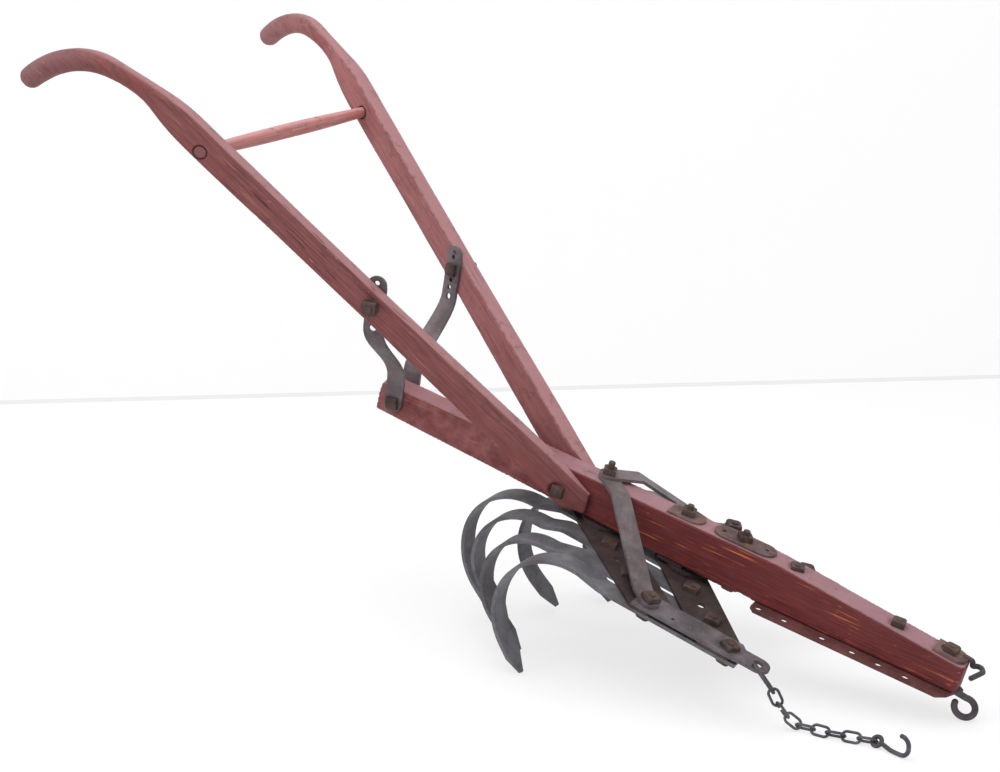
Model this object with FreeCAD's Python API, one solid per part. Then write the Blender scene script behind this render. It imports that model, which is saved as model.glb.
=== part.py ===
"""Horse-drawn cultivator: wooden beam and handles, iron tine frame, spring tines, draft plate and chain.

The machine is drawn in the beam's own frame: X forward from the beam's rear end, Y to the left,
Z up from the beam's top face, in millimetres. At the end every piece is pitched nose-down until
the front hook and the outer tine points stand on the floor together, and moved so that the
origin lies at the middle of the machine's footprint on the floor. The chain is laid out last,
on the floor, below the lug that carries it.
"""
import FreeCAD, Part
import math
import os

V = FreeCAD.Vector

# ---------------------------------------------------------------- driving dimensions (mm, degrees)
# Beam
BEAM_LENGTH = 1217.0
BEAM_WIDTH = 56.0
BEAM_DEPTH_REAR = 58.0
BEAM_DEPTH_MAX = 88.0
BEAM_DEEPEST_X = 748.0
BEAM_TOP_BREAK_X = 848.0        # the top face falls away ahead of here
BEAM_TOP_DROP = 32.5            # how far it has fallen at the front end
BEAM_BOTTOM_FRONT_Z = -85.0
BEAM_EDGE_RADIUS = 3.0
BEAM_NOSE_RADIUS = 14.0         # upright corners of the front end

# Handles: flat blades that splay outward to the rear and end in round grips
HANDLE_SPLAY = 17.6
HANDLE_RAKE = 30.2
HANDLE_THICKNESS = 36.0
HANDLE_DEPTH_FOOT = 60.0
HANDLE_DEPTH_BLADE = 53.0
HANDLE_DEPTH_SHOULDER = 55.0
HANDLE_EDGE_RADIUS = 3.5
HANDLE_TIP_X = 476.0
HANDLE_TIP_THICKNESS = 9.5
HANDLE_BOTTOM_Z = -70.0
HANDLE_SHOULDER_X = -312.0      # the blade is straight up to here
GRIP_DIAMETER = 41.0
GRIP_NECK_DIAMETER = 34.0

# Handle foot bolt, rung and handle braces
FOOT_BOLT_X = 420.0
FOOT_BOLT_Z = -40.0
HANDLE_AXIS_ABOVE_BOLT = 7.0
RUNG_X = -331.0
RUNG_BELOW_AXIS = 9.092           # the rung sits a little under the handles' middle line
RUNG_DIAMETER = 28.0
RUNG_TENON = 22.0
BRACE_WIDTH = 38.0
STRAP_THICKNESS = 6.0
FOOT_FLAT = 34.0                # length of a frame brace's flat foot behind its bolt
FOOT_LIFT = 1.0                 # the foot's level clears the tipped side bar by this much
FOOT_CLEAR = 1.6
FOOT_HOLE_CLEARANCE = 2.0       # the corner bolt passes through at a slant
BRACE_FOOT_X = 36.0
BRACE_FOOT_Z = -29.0
BRACE_HEAD_Z = 203.0
BRACE_SLOT_LENGTH = 16.0

# Tine frame under the beam
FRAME_SLOPE = 0.063             # fall of the frame per mm along the beam
PLATE_TOP = -2.2                # the upper plates' top below the frame's datum plane
PACKING_LENGTH = 50.0
PLATE_THICKNESS = 6.0
PLATE_WIDTH = 86.0
REAR_APEX_X = 489.0             # upright bolts through beam and frame
FRONT_APEX_X = 658.0
REAR_ROW_X = 479.0              # where the line of the tines' rear bolts meets the middle
REAR_PLATE_AXIS_X = 493.0
FRONT_PLATE_AXIS_X = 675.0
REAR_PLATE_SWEEP = 41.6
FRONT_PLATE_SWEEP = 48.7
APEX_OVERHANG = 30.0
PLATE_END = 22.0                # a plate's square end beyond its corner bolt
EMPTY_HOLE = 16.0
APEX_TRIM = 38.0                # the crossing ends stop this far beyond the middle
TINE_SPACING = 64.0
TINE_BOLT_PITCH = 174.0         # from a tine's rear bolt to its front bolt
CORNER_BOLT_PITCH = 162.0       # the same for the outer tines
SHANK_END = 25.0                # from the front bolt to the end of an inner shank
SIDE_BAR_WIDTH = 58.0
SIDE_BAR_INSET = 5.0            # its middle lies this far inside the corner bolts
SIDE_BAR_END = 24.0
SIDE_BAR_HOLE = 7.0
SIDE_BAR_HOLE_X = 748.0
SIDE_BAR_HOLE_Y = 200.0
LUG_WIDTH = 44.0                # the side bars run on ahead of the front corner bolts
LUG_HOLE = 18.0
LUG_HOLE_AHEAD = 57.0           # from the front corner bolt
FRAME_BRACE_WIDTH = 37.0

# Tines
TINE_WIDTH = 45.0
TINE_THICKNESS = 7.0
TINE_POINT_LENGTH = 36.0
RAMP_BEND = 36.0                # bends where a shank climbs behind the rear plates
RAMP_MARGIN = 12.0              # room for each bend

# Draft plate and hooks
DRAFT_REAR_X = 832.0
DRAFT_FRONT_X = 1191.0
DRAFT_WIDTH = 116.0
DRAFT_THICKNESS = 5.5
DRAFT_HOLE = 15.0
DRAFT_HOLE_INSET = 18.0
DRAFT_HOLES_X = (846.0, 897.0, 971.0, 1029.0, 1079.0, 1130.0)
HOOK_ROD = 12.0
HOOK_RADIUS = 18.5
HOOK_X = 1238.0
HOOK_DROP = 27.0                # the curl's centre below the draft plate's top
HOOK_ENTRY = 100.0              # where on the curl the neck joins, from +X towards +Z
HOOK_SWEEP = 285.0
NOSE_ROD = 9.5
NOSE_PLATE_LENGTH = 60.0
NOSE_PLATE_WIDTH = 46.0
NOSE_PLATE_THICKNESS = 6.0

# Fasteners
BOLT = 12.0
HOLE_CLEARANCE = 0.3
NUT_SQUARE = 24.0
NUT_HEIGHT = 11.0
FRAME_NUT_SQUARE = 27.0
FRAME_NUT_HEIGHTS = {-1: 9.0, 1: 12.0}      # right, left
FRAME_STUDS = {-1: 1.5, 1: 3.0}
HEAD_SQUARE = 23.0
HEAD_HEIGHT = 8.0
STUD = 8.0
WASHER = 34.0
WASHER_THICKNESS = 3.0
BEAM_PLATE_THICKNESS = 4.0

# Bolts down through the beam, measured from its rear end
DECK_BOLT_X = 772.0
DRAFT_BOLT_X = 1081.0
NOSE_BOLT_X = 1182.0
DRAFT_REAR_BOLT_X = 880.0
REAR_BEAM_PLATE = (624.0, 693.0)
DECK_PLATE = (714.0, 836.0)
BEAM_PLATE_WIDTH = 48.0

# Chain
LINK_WIRE = 5.0
LINK_INNER_LENGTH = 28.0
LINK_INNER_WIDTH = 13.0
LEAD_WIRE = 5.5
LEAD_INNER_LENGTH = 56.0
LEAD_INNER_WIDTH = 16.5
LINK_PLAY = 0.5
BEND_SLACK = 2.0                # more play where the chain meets the floor
CHAIN_HOOK_ROD = 8.0
HOOK_EYE_RADIUS = 8.5
HANG_PLAY = 1.2                 # play of the first small link in the lead link
HOOK_PLAY = 1.2
LEAD_LEAN = 34.0                # how far the lead link leans from the vertical
LEAD_TURN = 28.0                # the way it leans, from +X towards +Y
LEAD_SEAT = 1.5                 # the bow's centre above the middle of the lug's web
LEAD_WEAR = 0.5                 # room the link has worn for itself in the lug
LEAD_SWINGS = (0.0, 4.0, 8.0, 12.0)
# The hanging links: relative dips, ways over the floor from +X towards +Y, rolls
UPPER_DIPS = (90.0, 78.0, 54.0)
UPPER_TURNS = (20.0, 30.0, 24.0)
UPPER_ROLLS = (90.0, -20.0, 55.0)
OPEN_LINK = 1
LOWER_LINKS = ((0.0, -45.0), (-6.0, 45.0), (5.0, -45.0), (4.0, 45.0), (8.0, -45.0))
HOOK_HEADING = -22.0
OPEN_LINK_GAP = 7.0
FLOOR_GAP = 0.2

HALF_BEAM = BEAM_WIDTH / 2
RIGHT = -1
LEFT = 1
SIDES = (("right", RIGHT), ("left", LEFT))



# ---------------------------------------------------------------- geometry helpers
def fillet_edges(points, radii):
    """Edges along points, each inner corner rounded with its radius."""
    edges = []
    start = points[0]
    for i in range(1, len(points) - 1):
        corner = points[i]
        back = (points[i - 1] - corner).normalize()
        ahead = (points[i + 1] - corner).normalize()
        half = back.getAngle(ahead) / 2
        reach = radii[i - 1] / math.tan(half)
        first = corner + back * reach
        last = corner + ahead * reach
        middle = (back + ahead).normalize()
        mid = corner + middle * (radii[i - 1] / math.sin(half) - radii[i - 1])
        if start.distanceToPoint(first) > 1e-6:
            edges.append(Part.makeLine(start, first))
        edges.append(Part.Arc(first, mid, last).toShape())
        start = last
    edges.append(Part.makeLine(start, points[-1]))
    return edges


def turn_at(points, i):
    """Signed turn of an XZ route at inner point i: positive when it bends towards +Z."""
    before = points[i] - points[i - 1]
    after = points[i + 1] - points[i]
    return before.x * after.z - before.z * after.x


def offset_route(points, shift):
    """The XZ route moved sideways by shift, mitred at its corners."""
    moved = []
    count = len(points)
    for i in range(count):
        sides = []
        for a, b in ((i - 1, i), (i, i + 1)):
            if a >= 0 and b < count:
                run = (points[b] - points[a]).normalize()
                sides.append(V(-run.z, 0, run.x))
        if len(sides) == 1:
            moved.append(points[i] + sides[0] * shift)
        else:
            both = (sides[0] + sides[1]).normalize()
            moved.append(points[i] + both * (shift / both.dot(sides[0])))
    return moved


def strip(points, radii, thickness, width):
    """A bent flat bar: an XZ centre route given thickness, made width wide about Y = 0."""
    outlines = []
    for shift in (thickness / 2, -thickness / 2):
        moved = offset_route(points, shift)
        sized = []
        for i, radius in enumerate(radii, start=1):
            inward = shift if turn_at(points, i) > 0 else -shift
            sized.append(radius - inward)
        outlines.append(fillet_edges(moved, sized))
    upper, lower = outlines
    ends = [Part.makeLine(upper[0].valueAt(upper[0].FirstParameter),
                          lower[0].valueAt(lower[0].FirstParameter)),
            Part.makeLine(upper[-1].valueAt(upper[-1].LastParameter),
                          lower[-1].valueAt(lower[-1].LastParameter))]
    wire = Part.Wire(Part.__sortEdges__(upper + lower + ends))
    face = Part.Face(wire)
    face.translate(V(0, -width / 2, 0))
    return face.extrude(V(0, width, 0))


def rod(points, radii, diameter):
    """A round rod along a filleted route, with domed ends."""
    r = diameter / 2
    pieces = [Part.makeSphere(r, points[0]), Part.makeSphere(r, points[-1])]
    start = points[0]
    for i in range(1, len(points)):
        corner = points[i]
        back = (points[i - 1] - corner).normalize()
        if i < len(points) - 1:
            ahead = (points[i + 1] - corner).normalize()
            half = back.getAngle(ahead) / 2
            finish = corner + back * (radii[i - 1] / math.tan(half))
        else:
            finish = corner
        length = start.distanceToPoint(finish)
        if length > 1e-6:
            pieces.append(Part.makeCylinder(r, length, start, back * -1))
        if i < len(points) - 1:
            centre = corner + (back + ahead).normalize() * (radii[i - 1] / math.sin(half))
            face = Part.Face(Part.Wire(Part.makeCircle(r, finish, back)))
            axis = back.cross(ahead).normalize()
            pieces.append(face.revolve(centre, axis, math.degrees(2 * half) - 180))
            start = corner + ahead * (radii[i - 1] / math.tan(half))
    return pieces[0].fuse(pieces[1:]).removeSplitter()


def plate(outline, z, thickness):
    """A flat plate with an XY outline, lying from z up to z + thickness."""
    corners = [V(x, y, z) for x, y in outline]
    wire = Part.makePolygon(corners + [corners[0]])
    return Part.Face(wire).extrude(V(0, 0, thickness))


def stadium(x0, x1, width, z, thickness, round_rear=True, round_front=True):
    """A flat bar along X from x0 to x1 with rounded ends."""
    radius = width / 2
    rear = x0 + radius if round_rear else x0
    front = x1 - radius if round_front else x1
    body = Part.makeBox(front - rear, width, thickness, V(rear, -radius, z))
    for rounded, x in ((round_rear, rear), (round_front, front)):
        if rounded:
            body = body.fuse(Part.makeCylinder(radius, thickness, V(x, 0, z)))
    return body.removeSplitter()


def round_bar_end(bar, x, width, inward):
    """Cuts a flat bar's end at x to a half circle; inward is +1 when the bar lies ahead of x."""
    radius = width / 2
    reach = 400.0
    keep = Part.makeCylinder(radius, 2 * reach, V(x + inward * radius, 0, -reach))
    span = Part.makeBox(radius + 1, width + 2, 2 * reach,
                        V(x - 1 if inward > 0 else x - radius, -radius - 1, -reach))
    return bar.cut(span.cut(keep))


def square_nut(size, height, base, axis, spin=0.0):
    """A square nut with chamfered top corners, standing on base along axis."""
    nut = Part.makeBox(size, size, height, V(-size / 2, -size / 2, 0))
    cone = Part.makeCone(size * 0.60 + height, size * 0.60, height)
    nut = nut.common(cone)
    nut.rotate(V(0, 0, 0), V(0, 0, 1), spin)
    return aim(nut, base, axis)


def aim(shape, base, axis):
    """Turns a shape drawn up +Z at the origin to stand on base along axis."""
    turn = FreeCAD.Rotation(V(0, 0, 1), axis)
    shape.Placement = FreeCAD.Placement(base, turn).multiply(shape.Placement)
    return shape


def bolt(head_seat, nut_seat, head_spin=0.0, nut_spin=0.0, stud=STUD,
         head_washer=0.0, nut_washer=0.0, nut_size=NUT_SQUARE, nut_height=NUT_HEIGHT):
    """A square-headed bolt with its nut, gripping from head_seat to nut_seat."""
    axis = (nut_seat - head_seat).normalize()
    grip = nut_seat.distanceToPoint(head_seat)
    length = grip + nut_washer + nut_height + stud
    shank = aim(Part.makeCylinder(BOLT / 2, length), head_seat, axis)
    head = square_nut(HEAD_SQUARE, HEAD_HEIGHT, head_seat - axis * head_washer, axis * -1, head_spin)
    nut = square_nut(nut_size, nut_height, nut_seat + axis * nut_washer, axis, nut_spin)
    body = shank.fuse([head, nut])
    for seat, thick, way in ((head_seat, head_washer, axis * -1), (nut_seat, nut_washer, axis)):
        if thick > 0:
            body = body.fuse(aim(Part.makeCylinder(WASHER / 2, thick), seat, way))
    return body.removeSplitter()


def drill(shape, base, axis, diameter, length):
    """The shape with a round hole from base along axis."""
    return shape.cut(aim(Part.makeCylinder(diameter / 2, length), base, axis))


def bolt_hole(shape, x, y, axis=V(0, 0, 1)):
    """A bolt hole right through the shape at x, y."""
    reach = 600.0
    return drill(shape, V(x, y, 0) - axis * reach, axis, BOLT + 2 * HOLE_CLEARANCE, 2 * reach)


def mirrored(shape):
    return shape.mirror(V(0, 0, 0), V(0, 1, 0))


# ---------------------------------------------------------------- reference lines
BEAM_TAPER = (BEAM_DEPTH_MAX - BEAM_DEPTH_REAR) / BEAM_DEEPEST_X
TOP_SLOPE = BEAM_TOP_DROP / (BEAM_LENGTH - BEAM_TOP_BREAK_X)
NOSE_SLOPE = (BEAM_BOTTOM_FRONT_Z + BEAM_DEPTH_MAX) / (BEAM_LENGTH - BEAM_DEEPEST_X)


def beam_top(x):
    return -max(0.0, x - BEAM_TOP_BREAK_X) * TOP_SLOPE


def beam_bottom(x):
    if x < BEAM_DEEPEST_X:
        return -BEAM_DEPTH_REAR - BEAM_TAPER * x
    return -BEAM_DEPTH_MAX + NOSE_SLOPE * (x - BEAM_DEEPEST_X)


# The tine frame is flat and falls away from the beam's underside towards the front. It is drawn
# level, with local Z = 0 at its datum plane, which meets the underside at REAR_ROW_X.
FRAME_TILT = math.degrees(math.atan(FRAME_SLOPE))
FRAME_DATUM = beam_bottom(REAR_ROW_X) + FRAME_SLOPE * REAR_ROW_X


def to_beam(shape):
    """From the tine frame's level drawing to the beam frame."""
    moved = shape.copy()
    moved.rotate(V(0, 0, 0), V(0, 1, 0), FRAME_TILT)
    moved.translate(V(0, 0, FRAME_DATUM))
    return moved


REAR_RUN = V(math.cos(math.radians(REAR_PLATE_SWEEP)), math.sin(math.radians(REAR_PLATE_SWEEP)), 0)
FRONT_RUN = V(math.cos(math.radians(FRONT_PLATE_SWEEP)), math.sin(math.radians(FRONT_PLATE_SWEEP)), 0)
CORNER_Y = 3 * TINE_SPACING
TINE_ROWS = {RIGHT: (1.0, 2.0), LEFT: (1.5,)}
EMPTY_ROWS = {RIGHT: (1.5,), LEFT: (1.0, 2.0)}


def rear_bolt_x(y):
    """The rear plates' middle line at a distance y from the beam; the tines' rear bolts sit on it."""
    return REAR_ROW_X + abs(y) * REAR_RUN.x / REAR_RUN.y


def front_bolt_x(y):
    return rear_bolt_x(y) + (CORNER_BOLT_PITCH if abs(y) == CORNER_Y else TINE_BOLT_PITCH)


REAR_CORNER_X = rear_bolt_x(CORNER_Y)
FRONT_CORNER_X = front_bolt_x(CORNER_Y)
LUG_HOLE_X = FRONT_CORNER_X + LUG_HOLE_AHEAD


# ---------------------------------------------------------------- beam
def make_beam():
    outline = [V(0, 0, 0), V(BEAM_TOP_BREAK_X, 0, 0), V(BEAM_LENGTH, 0, -BEAM_TOP_DROP),
               V(BEAM_LENGTH, 0, BEAM_BOTTOM_FRONT_Z), V(BEAM_DEEPEST_X, 0, -BEAM_DEPTH_MAX),
               V(0, 0, -BEAM_DEPTH_REAR)]
    face = Part.Face(Part.makePolygon(outline + [outline[0]]))
    face.translate(V(0, -HALF_BEAM, 0))
    beam = face.extrude(V(0, BEAM_WIDTH, 0))
    upright = [e for e in beam.Edges
               if e.BoundBox.XMin > BEAM_LENGTH - 1 and e.BoundBox.YLength < 1]
    beam = beam.makeFillet(BEAM_NOSE_RADIUS, upright)
    long_edges = [e for e in beam.Edges if e.BoundBox.XLength > 100 and e.BoundBox.YLength < 1]
    beam = beam.makeFillet(BEAM_EDGE_RADIUS, long_edges)
    for x in (REAR_APEX_X, FRONT_APEX_X, DECK_BOLT_X, DRAFT_REAR_BOLT_X, DRAFT_BOLT_X, NOSE_BOLT_X):
        beam = bolt_hole(beam, x, 0)
    for x, z in ((BRACE_FOOT_X, BRACE_FOOT_Z), (FOOT_BOLT_X, FOOT_BOLT_Z)):
        beam = drill(beam, V(x, -100, z), V(0, 1, 0), BOLT + 2 * HOLE_CLEARANCE, 200)
    seats = [spot_face(x, nut_seat_on_slope(x)) for x in (DRAFT_REAR_BOLT_X, DRAFT_BOLT_X)]
    return beam.cut(seats)


def nut_seat_on_slope(x):
    """The level at which a nut sits flat where the beam's top slopes."""
    return beam_top(x + NUT_SQUARE / 2)


def spot_face(x, z):
    return Part.makeCylinder(NUT_SQUARE * 0.75, 30, V(x, 0, z))


# ---------------------------------------------------------------- handles
SPLAY = math.radians(HANDLE_SPLAY)
RAKE = math.radians(HANDLE_RAKE)


def outer_face(x):
    """Distance of the handles' outer faces from the middle plane."""
    return HALF_BEAM + HANDLE_TIP_THICKNESS + (HANDLE_TIP_X - x) * math.tan(SPLAY)


def inner_face(x):
    return outer_face(x) - HANDLE_THICKNESS / math.cos(SPLAY)


def blade_axis_z(x):
    return FOOT_BOLT_Z + HANDLE_AXIS_ABOVE_BOLT + (FOOT_BOLT_X - x) * math.tan(RAKE)


def rung_height():
    """Height of the rung's middle, which goes with the handles' rake."""
    return blade_axis_z(RUNG_X) - RUNG_BELOW_AXIS


def handle_section(x, z, lean, depth, thickness, radius):
    """A rounded rectangle across the right handle, centred at x, z on its middle plane."""
    outward = V(math.sin(SPLAY), -math.cos(SPLAY), 0)
    up = V(math.sin(lean) * math.cos(SPLAY), math.sin(lean) * math.sin(SPLAY), math.cos(lean))
    mid_y = -(outer_face(x) - HANDLE_THICKNESS / 2 / math.cos(SPLAY))
    centre = V(x, mid_y, z)
    a = thickness / 2
    b = depth / 2
    r = min(radius, 0.97 * a, 0.97 * b)
    edges = []
    corners = ((1, 1), (-1, 1), (-1, -1), (1, -1))
    for i, (su, sv) in enumerate(corners):
        arc_centre = centre + outward * (su * (a - r)) + up * (sv * (b - r))
        diagonal = (outward * su + up * sv).normalize()
        if i % 2 == 0:
            first, last = outward * su, up * sv
        else:
            first, last = up * sv, outward * su
        edges.append(Part.Arc(arc_centre + first * r, arc_centre + diagonal * r,
                              arc_centre + last * r).toShape())
        next_su, next_sv = corners[(i + 1) % 4]
        next_centre = centre + outward * (next_su * (a - r)) + up * (next_sv * (b - r))
        edges.append(Part.makeLine(arc_centre + last * r, next_centre + last * r))
    return Part.Wire(edges)


def eased(rows, steps):
    """The rows of numbers with steps between each pair, on a smooth curve through them."""
    dense = []
    for i in range(1, len(rows) - 2):
        for k in range(steps):
            t = k / steps
            row = []
            for a, b, c, d in zip(rows[i - 1], rows[i], rows[i + 1], rows[i + 2]):
                row.append(b + t * ((c - a) / 2 + t * (a - 2.5 * b + 2 * c - d / 2
                                                       + t * (1.5 * (b - c) + (d - a) / 2))))
            dense.append(tuple(row))
    return dense + [rows[-2], rows[-1]]


def handle_stations():
    """Sections from below the foot to the grip's end: x, z, lean, depth, thickness, radius."""
    t = HANDLE_THICKNESS
    e = HANDLE_EDGE_RADIUS
    shoulder = HANDLE_SHOULDER_X
    top = blade_axis_z(shoulder)
    g = GRIP_DIAMETER
    n = GRIP_NECK_DIAMETER
    straight = []
    for x, depth in ((HANDLE_TIP_X + 70, HANDLE_DEPTH_FOOT), (320, HANDLE_DEPTH_FOOT),
                     (60, HANDLE_DEPTH_BLADE), (-160, HANDLE_DEPTH_BLADE),
                     (shoulder + 60, HANDLE_DEPTH_SHOULDER), (shoulder, HANDLE_DEPTH_SHOULDER)):
        straight.append((x, blade_axis_z(x), RAKE, depth, t, e))
    curved = straight[-2:]
    curve = ((-60, 36, 31, HANDLE_DEPTH_SHOULDER, t, e + 1),
             (-95, 57, 30, 49, t, 8),
             (-135, 78.5, 26, 36.5, 0.96 * t, 14),
             (-182, 95, 17, n, n, n / 2),
             (-228, 104.5, 4, 0.96 * g, 0.96 * g, g / 2),
             (-270, 99, -16, g, g, g / 2),
             (-307, 81, -34, 1.03 * g, 1.03 * g, g / 2),
             (-335, 57, -46, 1.03 * g, 1.03 * g, g / 2),
             (-352, 37, -52, 0.96 * g, 0.96 * g, g / 2),
             (-357, 30.5, -52, 0.66 * g, 0.66 * g, g / 3))
    for dx, dz, lean, depth, thickness, radius in curve:
        curved.append((shoulder + dx, top + dz, math.radians(lean), depth, thickness, radius))
    return straight[:-1] + eased(curved, 3)


def make_handle():
    """The right handle."""
    sections = [handle_section(*row) for row in handle_stations()]
    blade = Part.makeLoft(sections, True, True)
    blade = blade.cut(Part.makeBox(900, 400, 1200, V(0, -HALF_BEAM, -400)))
    blade = blade.cut(Part.makeBox(300, 400, 800, V(HANDLE_TIP_X, -300, -400)))
    blade = blade.cut(Part.makeBox(600, 400, 400, V(200, -300, HANDLE_BOTTOM_Z - 400)))
    seat = outer_face(FOOT_BOLT_X + HEAD_SQUARE / 2)
    pocket = aim(Part.makeCylinder(HEAD_SQUARE * 0.76, 60), V(FOOT_BOLT_X, -seat, FOOT_BOLT_Z),
                 V(0, -1, 0))
    blade = blade.cut(pocket)
    hole = BOLT + 2 * HOLE_CLEARANCE
    blade = drill(blade, V(FOOT_BOLT_X, -200, FOOT_BOLT_Z), V(0, 1, 0), hole, 250)
    outward, base = brace_head_axis()
    blade = drill(blade, base - outward * 30, outward, hole, 120)
    return drill(blade, V(RUNG_X, -400, rung_height()), V(0, 1, 0), RUNG_TENON + 2 * HOLE_CLEARANCE, 300)


def outward_cut(distance_at):
    """A slab outside the right handle's outer face, for trimming what passes through it."""
    x0, x1 = -900.0, 700.0
    outline = [(x0, -distance_at(x0)), (x1, -distance_at(x1)), (x1, -900.0), (x0, -900.0)]
    return plate(outline, -400, 1400)


def make_rung():
    ends = inner_face(RUNG_X) - 6
    half = outer_face(RUNG_X) + 20
    r = RUNG_TENON / 2
    belly = Part.Arc(V(r, -ends, 0), V(RUNG_DIAMETER / 2, 0, 0), V(r, ends, 0)).toShape()
    outline = Part.Wire([Part.makeLine(V(0, -half, 0), V(r, -half, 0)),
                         Part.makeLine(V(r, -half, 0), V(r, -ends, 0)), belly,
                         Part.makeLine(V(r, ends, 0), V(r, half, 0)),
                         Part.makeLine(V(r, half, 0), V(0, half, 0)),
                         Part.makeLine(V(0, half, 0), V(0, -half, 0))])
    rung = Part.Face(outline).revolve(V(0, 0, 0), V(0, 1, 0), 360)
    rung.translate(V(RUNG_X, 0, rung_height()))
    trim = outward_cut(outer_face)
    return rung.cut([trim, mirrored(trim)])


# ---------------------------------------------------------------- handle braces
def brace_x(z):
    """The brace leans back as it rises."""
    top_x = BRACE_FOOT_X - 27.5
    return BRACE_FOOT_X + (top_x - BRACE_FOOT_X) * (z - BRACE_FOOT_Z) / (BRACE_HEAD_Z - BRACE_FOOT_Z)


def brace_head_axis():
    """Direction and a point on the right handle's inner face, for the brace's head bolt."""
    x = brace_x(BRACE_HEAD_Z)
    return V(math.sin(SPLAY), -math.cos(SPLAY), 0), V(x, -inner_face(x), BRACE_HEAD_Z)


BRACE_BEND_START = 18.0
BRACE_BEND_END = 150.0
BRACE_TOP_Z = 232.0


def brace_section(z):
    """One rectangle across the right brace at the height z of its middle line."""
    t = min(1.0, max(0.0, (z - BRACE_BEND_START) / (BRACE_BEND_END - BRACE_BEND_START)))
    ease = t * t * (3 - 2 * t)
    x = brace_x(z)
    low = HALF_BEAM + STRAP_THICKNESS / 2
    high = inner_face(x) - STRAP_THICKNESS / 2 / math.cos(SPLAY)
    out = low + (high - low) * ease
    slope = (high - low) * 6 * t * (1 - t) / (BRACE_BEND_END - BRACE_BEND_START)
    turn = SPLAY * ease
    lean = math.atan(slope)
    along = V(math.cos(turn), math.sin(turn), 0)
    away = V(math.sin(turn), -math.cos(turn), 0)
    normal = away * math.cos(lean) - V(0, 0, 1) * math.sin(lean)
    centre = V(x, -out, z)
    corners = [centre + along * (sa * BRACE_WIDTH / 2) + normal * (sn * STRAP_THICKNESS / 2)
               for sa, sn in ((1, 1), (-1, 1), (-1, -1), (1, -1))]
    return Part.makePolygon(corners + [corners[0]])


def make_handle_brace():
    """The right handle brace."""
    count = 13
    span = BRACE_BEND_END - BRACE_BEND_START
    levels = [BRACE_FOOT_Z] + [BRACE_BEND_START + span * i / count for i in range(count + 1)]
    brace = Part.makeLoft([brace_section(z) for z in levels + [BRACE_TOP_Z]], True, True)
    foot = aim(Part.makeCylinder(BRACE_WIDTH / 2, STRAP_THICKNESS),
               V(BRACE_FOOT_X, -HALF_BEAM, BRACE_FOOT_Z), V(0, -1, 0))
    outward = brace_head_axis()[0]
    x = brace_x(BRACE_TOP_Z)
    head = aim(Part.makeCylinder(BRACE_WIDTH / 2, STRAP_THICKNESS),
               V(x, -inner_face(x), BRACE_TOP_Z), outward * -1)
    brace = brace.fuse([foot, head]).removeSplitter()
    hole = BOLT + 2 * HOLE_CLEARANCE
    brace = drill(brace, V(BRACE_FOOT_X, -100, BRACE_FOOT_Z), V(0, 1, 0), hole, 90)
    for z, slot in ((BRACE_HEAD_Z, 0), (BRACE_TOP_Z + 1, 5), (BRACE_HEAD_Z - 28, BRACE_SLOT_LENGTH / 2),
                    (BRACE_HEAD_Z - 54, 0)):
        x = brace_x(z)
        for shift in {-slot, slot}:
            base = V(x, -inner_face(x), z + shift) - outward * 20
            brace = drill(brace, base, outward, hole if slot == 0 else hole - 3, 40)
    return brace


# ---------------------------------------------------------------- tine frame
def plate_level(side):
    """Top of the plates: the left ones lie on the right ones where they cross under the beam."""
    return PLATE_TOP if side == LEFT else PLATE_TOP - PLATE_THICKNESS


def shank_level(side):
    """Top of the tine shanks, which are bolted up against the plates."""
    return plate_level(side) - PLATE_THICKNESS


def frame_plate(side, origin_x, run, bolt_x):
    """One swept plate from the apex out to its square end under the side bar, drawn level."""
    across = V(run.y, -run.x, 0)
    half = PLATE_WIDTH / 2
    edge_y = CORNER_Y + SIDE_BAR_WIDTH / 2 - SIDE_BAR_INSET
    axis = V(origin_x, 0, 0)
    corner = V(bolt_x(CORNER_Y), CORNER_Y, 0)
    near = axis - run * APEX_OVERHANG
    far = axis + run * ((corner - axis).dot(run) + PLATE_END)
    outline = [near + across * half, far + across * half, far - across * half, near - across * half]
    level = plate_level(side) - PLATE_THICKNESS
    body = plate([(p.x, p.y) for p in outline], level, PLATE_THICKNESS)
    body = body.common(Part.makeBox(2000, edge_y + APEX_TRIM, 100, V(0, -APEX_TRIM, -60)))
    for y in [CORNER_Y] + [row * TINE_SPACING for row in TINE_ROWS[side]]:
        body = bolt_hole(body, bolt_x(y), y)
    for y in [row * TINE_SPACING for row in EMPTY_ROWS[side]]:
        body = drill(body, V(bolt_x(y), y, -50), V(0, 0, 1), EMPTY_HOLE, 100)
    return body if side == LEFT else mirrored(body)


def rear_plate(side):
    return small_hole(frame_plate(side, REAR_PLATE_AXIS_X, REAR_RUN, rear_bolt_x), side)


def front_plate(side):
    return frame_plate(side, FRONT_PLATE_AXIS_X, FRONT_RUN, front_bolt_x)


def rear_edge(y):
    """Rear edge of the rear plates."""
    return REAR_PLATE_AXIS_X + (y * REAR_RUN.x - PLATE_WIDTH / 2) / REAR_RUN.y


def front_edge(y):
    """Front edge of the front plates."""
    return FRONT_PLATE_AXIS_X + y * FRONT_RUN.x / FRONT_RUN.y + PLATE_WIDTH / 2 / FRONT_RUN.y


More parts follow.
